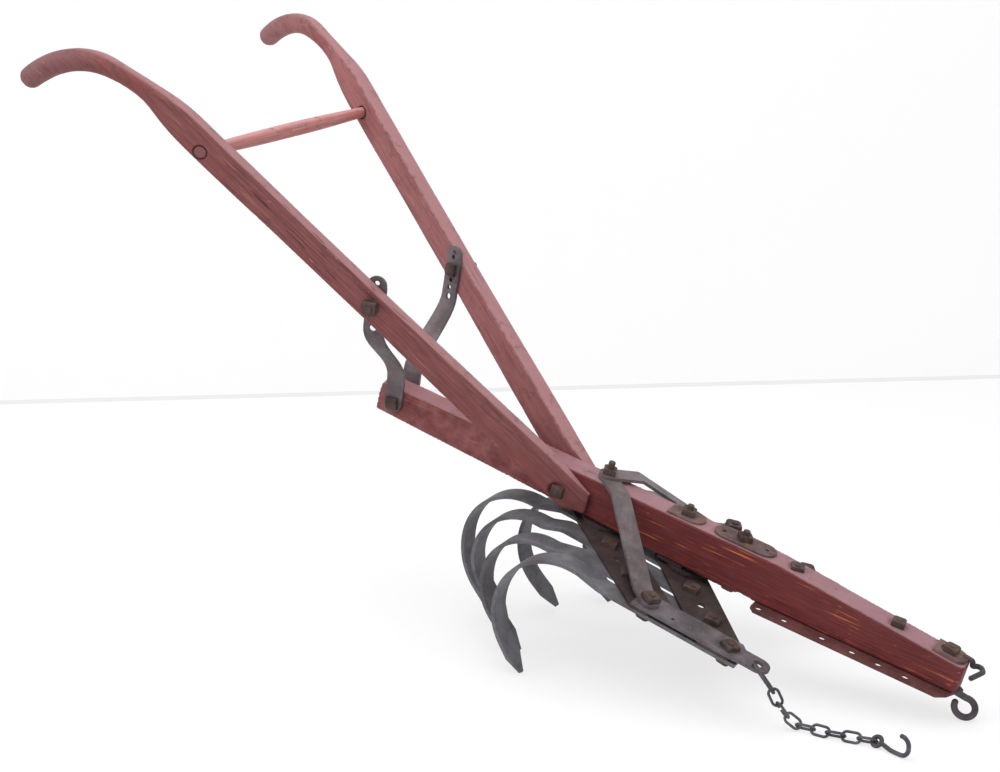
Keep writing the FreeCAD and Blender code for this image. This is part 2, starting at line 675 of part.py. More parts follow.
def side_bar(side):
    """Flat bar over the plates' outer ends, its front drawn out into the lug."""
    inner = CORNER_Y - SIDE_BAR_INSET - SIDE_BAR_WIDTH / 2
    outer = inner + SIDE_BAR_WIDTH
    half = LUG_WIDTH / 2
    rear = REAR_CORNER_X - SIDE_BAR_END
    outline = [(rear, inner), (front_edge(inner), inner),
               (front_edge(CORNER_Y - half), CORNER_Y - half), (LUG_HOLE_X, CORNER_Y - half),
               (LUG_HOLE_X, CORNER_Y + half), (FRONT_CORNER_X + SIDE_BAR_END, CORNER_Y + half),
               (FRONT_CORNER_X + SIDE_BAR_END - 5, outer), (rear, outer)]
    bar = plate(outline, plate_level(side), PLATE_THICKNESS)
    tip = Part.makeCylinder(half, PLATE_THICKNESS, V(LUG_HOLE_X, CORNER_Y, plate_level(side)))
    bar = bar.fuse(tip).removeSplitter()
    for x in (REAR_CORNER_X, FRONT_CORNER_X):
        bar = bolt_hole(bar, x, CORNER_Y)
    bar = small_hole(drill(bar, V(LUG_HOLE_X, CORNER_Y, -50), V(0, 0, 1), LUG_HOLE, 100), LEFT)
    return bar if side == LEFT else mirrored(bar)


def small_hole(shape, side):
    """The small hole through side bar, rear plate and outer shank."""
    return drill(shape, V(SIDE_BAR_HOLE_X, side * SIDE_BAR_HOLE_Y, -50), V(0, 0, 1), SIDE_BAR_HOLE, 100)


# Tines: side, distance from the middle, where the bow reaches back to, height of its top
# above the shank, radii of the bow and of the curl below it, angle of the tail below the
# horizontal, length of the straight tail
TINES = {
    "tine_centre": (RIGHT, 0.0, 256.0, -17.5, 112.0, 135.0, 34.0, 76.0),
    "tine_right_inner": (RIGHT, 1.0, 310.0, -14.0, 104.0, 90.0, 40.0, 100.0),
    "tine_right_middle": (RIGHT, 2.0, 365.5, -15.0, 98.0, 108.0, 33.0, 77.0),
    "tine_right_outer": (RIGHT, 3.0, 428.0, 9.5, 119.0, 119.0, 42.0, 68.0),
    "tine_left_inner": (LEFT, 1.5, 330.5, -28.0, 102.0, 114.0, 28.0, 65.0),
    "tine_left_outer": (LEFT, 3.0, 428.0, 3.5, 119.0, 119.0, 42.0, 68.0),
}


def tine_route(side, row, back_x, rise, bow, curl, tail_angle, tail_length):
    """The middle line of a tine in the level drawing, from the shank's front end to the point."""
    y = row * TINE_SPACING
    front = front_bolt_x(y) + SHANK_END
    z = shank_level(side) - TINE_THICKNESS / 2
    clamp = rear_edge(y)
    if row > 0:
        clamp -= TINE_WIDTH / 2 * REAR_RUN.x / REAR_RUN.y + RAMP_MARGIN
    ramp_end = back_x + bow + RAMP_MARGIN
    top = z + rise
    tail = math.radians(tail_angle)
    reach = curl * math.tan((math.pi / 2 - tail) / 2)
    knee = top - bow - reach
    length = tail_length + reach
    point = V(back_x + length * math.cos(tail), 0, knee - length * math.sin(tail))
    points = [V(front, 0, z), V(clamp, 0, z), V(ramp_end, 0, top), V(back_x, 0, top),
              V(back_x, 0, knee), point]
    return points, [RAMP_BEND, RAMP_BEND, bow - 0.05, curl - 0.05]


def make_tine(side, row, back_x, rise, bow, curl, tail_angle, tail_length):
    points, radii = tine_route(side, row, back_x, rise, bow, curl, tail_angle, tail_length)
    tine = strip(points, radii, TINE_THICKNESS, TINE_WIDTH)
    tail = math.radians(tail_angle)
    half = TINE_WIDTH / 2
    tip = points[-1]
    wedge = [(-TINE_POINT_LENGTH, half), (-TINE_POINT_LENGTH, half + 9), (9, half + 9), (9, 3), (0, 3)]
    for sign in (1, -1):
        cutter = plate([(a, sign * b) for a, b in wedge], -20, 40)
        cutter.rotate(V(0, 0, 0), V(0, 1, 0), math.degrees(tail))
        cutter.translate(tip)
        tine = tine.cut(cutter)
    y = row * TINE_SPACING
    if row > 0:
        tine = bolt_hole(tine, rear_bolt_x(y), 0)
        tine = bolt_hole(tine, front_bolt_x(y), 0)
    tine.translate(V(0, side * y, 0))
    return small_hole(tine, side) if row == 3.0 else tine


def frame_packing():
    """A wedge between the beam and the plates at the front apex bolt, in the beam frame."""
    x0 = FRONT_APEX_X - PACKING_LENGTH / 2
    x1 = x0 + PACKING_LENGTH
    drop = PLATE_TOP / math.cos(math.radians(FRAME_TILT))
    corners = [V(x0, -HALF_BEAM, beam_bottom(x0)), V(x1, -HALF_BEAM, beam_bottom(x1)),
               V(x1, -HALF_BEAM, frame_level(x1) + drop), V(x0, -HALF_BEAM, frame_level(x0) + drop)]
    return Part.Face(Part.makePolygon(corners + [corners[0]])).extrude(V(0, BEAM_WIDTH, 0))


def frame_level(x):
    """Height in the beam frame of the tine frame's datum plane at x."""
    return FRAME_DATUM - FRAME_SLOPE * x


def make_frame_brace(side):
    """Flat bar from the beam's top down to the rear corner; the left one crosses on top."""
    corner = to_beam(Part.Vertex(REAR_CORNER_X, CORNER_Y, plate_level(side) + PLATE_THICKNESS)).Point
    plan = V(corner.x - REAR_APEX_X, CORNER_Y, 0)
    run = plan.Length
    half = FRAME_BRACE_WIDTH / 2
    t = STRAP_THICKNESS
    head = t / 2 if side == RIGHT else 1.5 * t
    foot = corner.z + t / 2 + FOOT_LIFT
    fall = FRAME_SLOPE * plan.x / run
    shoulder = (HALF_BEAM * run + half * plan.x) / plan.y + 4
    points = [V(-half, 0, head), V(shoulder, 0, head), V(run - FOOT_FLAT, 0, foot + fall * FOOT_FLAT),
              V(run + half, 0, foot - fall * half)]
    brace = strip(points, [14, 14], t, FRAME_BRACE_WIDTH)
    brace = round_bar_end(brace, -half, FRAME_BRACE_WIDTH, 1)
    brace = round_bar_end(brace, run + half, FRAME_BRACE_WIDTH, -1)
    brace = bolt_hole(brace, 0, 0)
    brace = drill(brace, V(run, 0, -200), V(0, 0, 1),
                  BOLT + FOOT_HOLE_CLEARANCE, 400)
    angle = math.degrees(math.atan2(side * plan.y, plan.x))
    brace.rotate(V(0, 0, 0), V(0, 0, 1), angle)
    brace.translate(V(REAR_APEX_X, 0, 0))
    return brace


# ---------------------------------------------------------------- fasteners
def through_beam(x, top, bottom, **options):
    """A bolt up through the beam at x, its head below and its nut on top."""
    return bolt(V(x, 0, bottom), V(x, 0, top), **options)


def apex_head_seat(x):
    """Lowest level of the centre shank's underside beneath a bolt head at x."""
    reach = HEAD_SQUARE / 2
    return frame_level(x + reach) + (
        shank_level(RIGHT) - TINE_THICKNESS) / math.cos(math.radians(FRAME_TILT))


def frame_brace_bolt():
    return through_beam(REAR_APEX_X, 2 * STRAP_THICKNESS, apex_head_seat(REAR_APEX_X), nut_spin=20,
                        stud=13.0)


def frame_apex_bolt():
    return through_beam(FRONT_APEX_X, BEAM_PLATE_THICKNESS, apex_head_seat(FRONT_APEX_X), nut_spin=12)


def beam_bolts():
    deck = through_beam(DECK_BOLT_X, BEAM_PLATE_THICKNESS, beam_bottom(DECK_BOLT_X - HEAD_SQUARE),
                        nut_spin=35, head_washer=WASHER_THICKNESS)
    rear = through_beam(DRAFT_REAR_BOLT_X, nut_seat_on_slope(DRAFT_REAR_BOLT_X),
                        draft_seat(DRAFT_REAR_BOLT_X), nut_spin=20, stud=1.5, nut_height=7.0)
    seat = draft_seat(DRAFT_BOLT_X)
    draft = through_beam(DRAFT_BOLT_X, nut_seat_on_slope(DRAFT_BOLT_X), seat, nut_spin=8, stud=1.0)
    seat = draft_seat(NOSE_BOLT_X)
    nose = through_beam(NOSE_BOLT_X, nose_nut_seat(), seat, nut_spin=-6, stud=1.0)
    return [deck, rear, draft, nose]


def frame_nut(side):
    """The larger, flatter nuts of the tine frame."""
    return {"nut_size": FRAME_NUT_SQUARE, "nut_height": FRAME_NUT_HEIGHTS[side],
            "stud": FRAME_STUDS[side]}


def corner_bolts(side):
    """Bolts through side bar, plate and outer shank; the rear one also holds the frame brace."""
    bolts = []
    bottom = shank_level(side) - TINE_THICKNESS
    for x, extra in ((REAR_CORNER_X, STRAP_THICKNESS + FOOT_LIFT + FOOT_CLEAR), (FRONT_CORNER_X, 0.0)):
        top = plate_level(side) + PLATE_THICKNESS + extra
        bolts.append(bolt(V(x, side * CORNER_Y, bottom), V(x, side * CORNER_Y, top),
                          head_spin=9, nut_spin=32 * side, head_washer=WASHER_THICKNESS,
                          **frame_nut(side)))
    return bolts


def tine_bolts(side, rows):
    bolts = []
    for row in rows:
        y = row * TINE_SPACING
        for x, spin in ((rear_bolt_x(y), 14), (front_bolt_x(y), 4)):
            bolts.append(bolt(V(x, side * y, shank_level(side) - TINE_THICKNESS),
                              V(x, side * y, plate_level(side)), nut_spin=spin * row,
                              **frame_nut(side)))
    return bolts


def handle_foot_bolt():
    seat = outer_face(FOOT_BOLT_X + HEAD_SQUARE / 2)
    return bolt(V(FOOT_BOLT_X, -seat, FOOT_BOLT_Z), V(FOOT_BOLT_X, seat, FOOT_BOLT_Z),
                head_spin=3, nut_spin=8, stud=4.0)


def brace_foot_bolt():
    seat = HALF_BEAM + STRAP_THICKNESS
    return bolt(V(BRACE_FOOT_X, -seat, BRACE_FOOT_Z), V(BRACE_FOOT_X, seat, BRACE_FOOT_Z),
                head_spin=12, nut_spin=-7, stud=5.0)


def brace_head_bolt():
    """The right one: nut and washer outside the handle, head against the brace."""
    outward, base = brace_head_axis()
    return bolt(base - outward * STRAP_THICKNESS, base + outward * HANDLE_THICKNESS,
                head_spin=10, nut_spin=25, stud=5.0, nut_washer=WASHER_THICKNESS)


# ---------------------------------------------------------------- beam ironwork
def beam_plates():
    """Two plates under the nuts on top of the beam."""
    rear = stadium(*REAR_BEAM_PLATE, BEAM_PLATE_WIDTH, 0, BEAM_PLATE_THICKNESS, round_rear=False)
    rear = bolt_hole(rear, FRONT_APEX_X, 0)
    deck = stadium(*DECK_PLATE, BEAM_PLATE_WIDTH, 0, BEAM_PLATE_THICKNESS)
    deck = bolt_hole(deck, DECK_BOLT_X, 0)
    deck = drill(deck, V(DECK_PLATE[0] + 18, 0, -5), V(0, 0, 1), 8, 20)
    return [rear, drill(deck, V(DECK_PLATE[1] - 18, 0, -5), V(0, 0, 1), 8, 20)]


def nose_nut_seat():
    """The nut on the sloping nose plate sits at the plate's level below its lower edge."""
    x = NOSE_BOLT_X + NUT_SQUARE / 2
    return beam_top(x) + NOSE_PLATE_THICKNESS / math.cos(math.atan(TOP_SLOPE))


def make_nose_plate():
    """A plate on the beam's nose, drawn out into a rod that turns down and curls into a hook."""
    x0 = BEAM_LENGTH - 3 - NOSE_PLATE_LENGTH
    body = stadium(0, NOSE_PLATE_LENGTH, NOSE_PLATE_WIDTH, 0, NOSE_PLATE_THICKNESS, round_rear=False)
    body.rotate(V(0, 0, 0), V(0, 1, 0), math.degrees(math.atan(TOP_SLOPE)))
    body.translate(V(x0, 0, beam_top(x0)))
    body = bolt_hole(body, NOSE_BOLT_X, 0).cut(spot_face(NOSE_BOLT_X, nose_nut_seat()))
    front = BEAM_LENGTH + 1.0 + NOSE_ROD / 2
    top = beam_top(BEAM_LENGTH) + NOSE_ROD / 2
    level = -38.0
    route = [V(BEAM_LENGTH - 9, 8, top + 1.6), V(front, 8, top), V(front, 8, level),
             V(front + 13, 25, level), V(front + 22, 5, level), V(front + 11, -34, level)]
    return body.fuse(rod(route, [5.2, 5.2, 7, 9], NOSE_ROD)).removeSplitter()


def draft_top(x):
    return beam_bottom(x)


def draft_seat(x):
    """Where a level bolt head meets the underside of the sloping plate."""
    return draft_top(x - HEAD_SQUARE) - DRAFT_THICKNESS


def make_draft_plate():
    """The perforated plate under the beam, its front drawn out into the towing hook."""
    half = DRAFT_WIDTH / 2
    neck = HOOK_ROD / 2
    side = [(DRAFT_REAR_X, half - 12), (DRAFT_REAR_X + 10, half), (DRAFT_FRONT_X, half - 2),
            (DRAFT_FRONT_X + 16, half - 20), (DRAFT_FRONT_X + 24, 16), (DRAFT_FRONT_X + 34, neck)]
    outline = [(x, -y) for x, y in side] + side[::-1]
    slope = math.degrees(math.atan(NOSE_SLOPE))
    body = plate([(x - DRAFT_REAR_X, y) for x, y in outline], -DRAFT_THICKNESS, DRAFT_THICKNESS)
    for x in DRAFT_HOLES_X:
        for y in (half - DRAFT_HOLE_INSET, DRAFT_HOLE_INSET - half):
            body = drill(body, V(x - DRAFT_REAR_X, y, -20), V(0, 0, 1), DRAFT_HOLE, 40)
    body.rotate(V(0, 0, 0), V(0, 1, 0), -slope)
    body.translate(V(DRAFT_REAR_X, 0, draft_top(DRAFT_REAR_X)))
    for x in (DRAFT_REAR_BOLT_X, DRAFT_BOLT_X, NOSE_BOLT_X):
        body = bolt_hole(body, x, 0)
    centre = hook_centre()
    entry = math.radians(HOOK_ENTRY)
    start = centre + V(math.cos(entry), 0, math.sin(entry)) * HOOK_RADIUS
    circle = Part.Face(Part.Wire(Part.makeCircle(HOOK_ROD / 2, start,
                                                 V(-math.sin(entry), 0, math.cos(entry)))))
    curl = circle.revolve(centre, V(0, 1, 0), HOOK_SWEEP)
    root = V(DRAFT_FRONT_X + 18, 0, draft_top(DRAFT_FRONT_X) - HOOK_ROD / 2)
    neck_rod = aim(Part.makeCylinder(HOOK_ROD / 2, root.distanceToPoint(start)), root, start - root)
    leave = entry - math.radians(HOOK_SWEEP)
    end = centre + V(math.cos(leave), 0, math.sin(leave)) * HOOK_RADIUS
    pieces = [curl, neck_rod] + [Part.makeSphere(HOOK_ROD / 2, p) for p in (root, start, end)]
    return body.fuse(pieces).removeSplitter()


def hook_centre():
    return V(HOOK_X, 0, draft_top(DRAFT_FRONT_X) - HOOK_DROP)


# ---------------------------------------------------------------- placing on the floor
def lowest_tine_point(solids, pitch):
    """Lowest corner of the outer tines' points when the machine is pitched."""
    c = math.cos(pitch)
    s = math.sin(pitch)
    return min(-v.X * s + v.Z * c for solid in solids for v in solid.Vertexes)


def standing_pitch(solids):
    """The nose-down pitch at which the hook and the tine points touch the floor together."""
    centre = hook_centre()
    low, high = 0.0, math.radians(40)
    for _ in range(60):
        pitch = (low + high) / 2
        hook = -centre.x * math.sin(pitch) + centre.z * math.cos(pitch) - HOOK_RADIUS - HOOK_ROD / 2
        if hook < lowest_tine_point(solids, pitch):
            high = pitch
        else:
            low = pitch
    return (low + high) / 2


# ---------------------------------------------------------------- chain
def stadium_link(wire, inner_length, inner_width):
    """A closed link about the origin, long axis X, lying in XY."""
    bow = (inner_width + wire) / 2
    half = (inner_length + wire) / 2 - bow
    pieces = []
    for sign in (1, -1):
        pieces.append(Part.makeCylinder(wire / 2, 2 * half, V(-half, sign * bow, 0), V(1, 0, 0)))
        circle = Part.Face(Part.Wire(Part.makeCircle(wire / 2, V(sign * half, -bow, 0), V(1, 0, 0))))
        pieces.append(circle.revolve(V(sign * half, 0, 0), V(0, 0, 1), 180 * sign))
    return pieces[0].fuse(pieces[1:]).removeSplitter()


def lay(shape, centre, heading, roll):
    """Places a link drawn along X at centre, its long axis on heading, rolled about it."""
    shape.rotate(V(0, 0, 0), V(1, 0, 0), roll)
    flat = V(heading.x, heading.y, 0)
    climb = math.degrees(math.atan2(heading.z, flat.Length))
    shape.rotate(V(0, 0, 0), V(0, 1, 0), -climb)
    shape.rotate(V(0, 0, 0), V(0, 0, 1), math.degrees(math.atan2(heading.y, heading.x)))
    shape.translate(centre)
    return shape


def small_link():
    return stadium_link(LINK_WIRE, LINK_INNER_LENGTH, LINK_INNER_WIDTH)


def upper_dips(drop, pitch):
    """How steeply the hanging links lie, flatter one by one, so that together they fall by drop."""
    low, high = 0.0, 1.0
    for _ in range(50):
        scale = (low + high) / 2
        dips = [scale * math.radians(dip) for dip in UPPER_DIPS]
        if pitch * sum(math.sin(dip) for dip in dips) < drop:
            low = scale
        else:
            high = scale
    return dips


def level_way(turn):
    return V(math.cos(math.radians(turn)), math.sin(math.radians(turn)), 0)


def lead_way_at(swing):
    """The way the lead link hangs when it is swung forward by swing degrees."""
    lean = math.radians(LEAD_LEAN + swing)
    return level_way(LEAD_TURN) * math.sin(lean) - V(0, 0, 1) * math.cos(lean)


def lead_link(web, swing=0.0, spare=0.0):
    """The lead link hung over the middle of the lug's web, its wire thicker by spare all round."""
    way = lead_way_at(swing)
    top = web - way * (LEAD_INNER_WIDTH / 2 + LEAD_SEAT)
    link = stadium_link(LEAD_WIRE + 2 * spare, LEAD_INNER_LENGTH - 2 * spare,
                        LEAD_INNER_WIDTH - 2 * spare)
    return lay(link, top + way * (LEAD_INNER_LENGTH / 2), way, 0)


def make_chain(web):
    """The chain from the right lug's web down to the hook on the floor at Z = 0.

    web is the middle of the web. Returns the shapes by node and the points the loose pieces
    turn about.
    """
    lead_way = lead_way_at(0.0)
    hang = web + lead_way * (LEAD_INNER_LENGTH - LEAD_INNER_WIDTH / 2 - LEAD_SEAT)
    lead = lead_link(web)
    pivots = {"lead": web, "upper": hang}
    pitch = LINK_INNER_LENGTH - LINK_PLAY
    bow = (LINK_INNER_WIDTH + LINK_WIRE) / 2
    rest = bow * math.sin(math.radians(45)) + LINK_WIRE / 2 + FLOOR_GAP
    near = hang - lead_way * HANG_PLAY
    upper = []
    for dip, turn, roll in zip(upper_dips(near.z - rest, pitch), UPPER_TURNS, UPPER_ROLLS):
        way = level_way(turn) * math.cos(dip) - V(0, 0, 1) * math.sin(dip)
        middle = near + way * (pitch / 2)
        link = lay(small_link(), middle, way, roll)
        if len(upper) == OPEN_LINK:
            gap = Part.makeBox(OPEN_LINK_GAP, 12, 12, V(-OPEN_LINK_GAP / 2, LINK_INNER_WIDTH / 2 - 3, -6))
            link = link.cut(lay(gap, middle, way, roll))
        upper.append(link)
        near = near + way * pitch
    near = near - level_way(LOWER_LINKS[0][0]) * BEND_SLACK
    pivots["lower"] = V(near.x, near.y, near.z)
    lower = []
    for turn, roll in LOWER_LINKS:
        lower.append(lay(small_link(), near + level_way(turn) * (pitch / 2), level_way(turn), roll))
        near = near + level_way(turn) * pitch
    pivots["hook"] = V(near.x, near.y, near.z)
    return {"chain_lead_link": [lead], "chain_links_upper": upper, "chain_links_lower": lower,
            "chain_hook": [chain_hook(near, level_way(HOOK_HEADING))]}, pivots


def chain_hook(near, heading):
    """The hook at the chain's end, lying on the floor with its mouth upright."""
    r = CHAIN_HOOK_ROD / 2
    eye_rise = HOOK_EYE_RADIUS * math.sin(math.radians(45)) + r + FLOOR_GAP
    eye = Part.makeTorus(HOOK_EYE_RADIUS, r)
    eye.rotate(V(0, 0, 0), V(1, 0, 0), 45)
    low = r + FLOOR_GAP
    shank = HOOK_EYE_RADIUS
    route = [V(shank, 0, eye_rise), V(shank + 22, 0, low), V(shank + 58, 0, low),
             V(shank + 58, 0, low + 35), V(shank + 43, 0, low + 35)]
    hook = rod(route, [40, 17, 14], CHAIN_HOOK_ROD)
    eye.translate(V(0, 0, eye_rise))
    hook = hook.fuse(eye).removeSplitter()
    hook.translate(V(HOOK_EYE_RADIUS - r - HOOK_PLAY, 0, 0))
    hook.rotate(V(0, 0, 0), V(0, 0, 1), math.degrees(math.atan2(heading.y, heading.x)))
    hook.translate(V(near.x, near.y, 0))
    return hook


# ---------------------------------------------------------------- the whole machine
def make_tines():
    tines = {}
    for name, numbers in TINES.items():
        tine = to_beam(make_tine(*numbers))
        if numbers[1] == 0:
            tine = bolt_hole(tine, REAR_APEX_X, 0)
            tine = bolt_hole(tine, FRONT_APEX_X, 0)
        tines[name] = tine
    return tines


def framed(shape, x):
    """A tine frame piece in the beam frame, with its hole for the upright bolt at x."""
    return bolt_hole(to_beam(shape), x, 0)


def build_machine():
    """Every node of the machine without its chain, in the beam frame."""
    nodes = {"beam": [make_beam()], "handle_rung": [make_rung()]}
    for name, make in (("handle", make_handle), ("handle_brace", make_handle_brace),
                       ("brace_head_bolt", brace_head_bolt)):
        shape = make()
        nodes[name + "_right"] = [shape]
        nodes[name + "_left"] = [mirrored(shape)]
    nodes["handle_foot_bolt"] = [handle_foot_bolt()]
    nodes["brace_foot_bolt"] = [brace_foot_bolt()]
    nodes["frame_packing"] = [bolt_hole(frame_packing(), FRONT_APEX_X, 0)]
    for name, side in SIDES:
        nodes["rear_plate_" + name] = [framed(rear_plate(side), REAR_APEX_X)]
        nodes["front_plate_" + name] = [framed(front_plate(side), FRONT_APEX_X)]
        nodes["side_bar_" + name] = [to_beam(side_bar(side))]
        nodes["frame_brace_" + name] = [make_frame_brace(side)]
        nodes["corner_bolts_" + name] = [to_beam(b) for b in corner_bolts(side)]
        nodes["tine_bolts_" + name] = [to_beam(b) for b in tine_bolts(side, TINE_ROWS[side])]
    for name, tine in make_tines().items():
        nodes[name] = [tine]
    nodes["frame_brace_bolt"] = [frame_brace_bolt()]
    nodes["beam_bolts"] = [frame_apex_bolt()] + beam_bolts()
    nodes["beam_top_plates"] = beam_plates()
    nodes["nose_plate"] = [make_nose_plate()]
    nodes["draft_plate"] = [make_draft_plate()]
    return nodes


def extent(nodes):
    """Corners of the box round all the nodes, from their surfaces."""
    points = []
    for shapes in nodes.values():
        for shape in shapes:
            points += shape.tessellate(0.2)[0]
    low = V(min(p.x for p in points), min(p.y for p in points), min(p.z for p in points))
    high = V(max(p.x for p in points), max(p.y for p in points), max(p.z for p in points))
    return low, high


def main():
    nodes = build_machine()
    outer = nodes["tine_right_outer"] + nodes["tine_left_outer"]
    pitch = standing_pitch(outer)
    place = FreeCAD.Placement(V(0, 0, 0), FreeCAD.Rotation(V(0, 1, 0), math.degrees(pitch)))
    floor = place.multVec(hook_centre()).z - HOOK_RADIUS - HOOK_ROD / 2
    place = FreeCAD.Placement(V(0, 0, -floor), FreeCAD.Rotation(V(0, 0, 1), 0)).multiply(place)
    for shapes in nodes.values():
        for shape in shapes:
            shape.Placement = place.multiply(shape.Placement)
    turn = math.radians(LEAD_TURN)
    rim = (LUG_WIDTH + LUG_HOLE) / 4
    web = V(LUG_HOLE_X + rim * math.sin(turn), -CORNER_Y - rim * math.cos(turn),
            plate_level(RIGHT) + PLATE_THICKNESS / 2)
    level = FreeCAD.Placement(V(0, 0, FRAME_DATUM), FreeCAD.Rotation(V(0, 1, 0), FRAME_TILT))
    web = place.multiply(level).multVec(web)
    worn = [lead_link(web, swing, LEAD_WEAR) for swing in LEAD_SWINGS]
    nodes["side_bar_right"] = [nodes["side_bar_right"][0].cut(worn)]
    chain, pivots = make_chain(web)
    nodes.update(chain)
    low, high = extent(nodes)
    shift = V(-(low.x + high.x) / 2, -(low.y + high.y) / 2, -low.z)
    os.makedirs("parts", exist_ok=True)
    for name, shapes in nodes.items():
        for shape in shapes:
            shape.translate(shift)
        whole = shapes[0] if len(shapes) == 1 else Part.makeCompound(shapes)
        whole.exportStep("parts/" + name + ".step")
    print("pitch", round(math.degrees(pitch), 3), "floor", floor, "size", high - low, "shift", shift)
    for name, point in pivots.items():
        print("pivot", name, point + shift)


main()
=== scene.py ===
"""Looks of the horse-drawn cultivator: worn red wood, dull iron, rusty nuts and bolt threads.

Sizes are in metres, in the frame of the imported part: X forward, Y to the left, Z up. Places given
in millimetres are in the beam's own frame, as a maker would measure them along and across the
beam, and Pitch turns them into the part's frame.
"""

import logging
import math
from dataclasses import dataclass, field
from enum import Enum
from typing import Any

import bmesh
import bpy
from mathutils import Matrix, Vector, noise

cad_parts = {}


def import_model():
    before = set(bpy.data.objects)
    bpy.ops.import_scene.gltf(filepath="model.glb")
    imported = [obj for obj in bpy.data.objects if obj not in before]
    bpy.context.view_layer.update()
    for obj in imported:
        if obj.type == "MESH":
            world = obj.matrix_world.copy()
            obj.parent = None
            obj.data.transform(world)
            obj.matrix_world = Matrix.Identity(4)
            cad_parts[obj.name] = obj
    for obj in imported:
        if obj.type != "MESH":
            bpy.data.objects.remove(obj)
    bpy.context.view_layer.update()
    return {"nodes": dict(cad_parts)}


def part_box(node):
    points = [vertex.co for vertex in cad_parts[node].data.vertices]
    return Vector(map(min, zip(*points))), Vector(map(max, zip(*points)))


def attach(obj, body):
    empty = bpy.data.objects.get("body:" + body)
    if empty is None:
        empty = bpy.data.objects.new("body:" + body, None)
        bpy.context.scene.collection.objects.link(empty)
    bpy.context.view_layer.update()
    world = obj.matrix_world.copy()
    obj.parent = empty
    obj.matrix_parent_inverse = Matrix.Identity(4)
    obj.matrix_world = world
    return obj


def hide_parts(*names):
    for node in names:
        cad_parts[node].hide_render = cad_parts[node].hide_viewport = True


LOG = logging.getLogger("cultivator")
MM = 0.001
WELD = 1e-6
# A place in metres beyond every piece: a mark that would start there is left out.
FAR_OFF = 9.0
UP = Vector((0, 0, 1))
LEFTWARD = Vector((0, 1, 0))
BUMP_STRENGTH = 0.8
WOOD_BUMP = 0.0007

Colour = tuple[float, float, float]


class Side(Enum):
    """Which side of the machine a piece is on; the value is the sign of its Y."""
    RIGHT = -1
    LEFT = 1


# ------------------------------------------------------------------ the beam's frame
@dataclass(frozen=True)
class Pitch:
    """How the beam's frame stands in the part's frame."""
    angle: float = math.radians(15.489)
    shift_x: float = -0.3266943
    lift: float = 0.4632014

    def matrix(self) -> Matrix:
        """The transform from the beam's frame to the part's frame."""
        turn = Matrix.Rotation(self.angle, 4, "Y")
        return Matrix.Translation((self.shift_x, 0.0, self.lift)) @ turn

    def point(self, x: float, y: float, z: float) -> Vector:
        """A place given in millimetres along, across and above the beam.

        Args:
            x: Distance from the beam's rear end.
            y: Distance to the left of its middle.
            z: Height above its top face.

        Returns:
            The place in the part's frame, in metres.
        """
        return self.matrix() @ Vector((x * MM, y * MM, z * MM))

    def way(self, x: float, y: float, z: float) -> Vector:
        """A direction given in the beam's frame, as a unit vector of the part's frame."""
        return (self.matrix().to_3x3() @ Vector((x, y, z))).normalized()


PITCH = Pitch()
FORWARD = PITCH.way(1.0, 0.0, 0.0)
BEAM_MIDDLE = PITCH.point(600.0, 0.0, -40.0)
RUNG_MIDDLE = PITCH.point(-331.0, 0.0, 395.0)


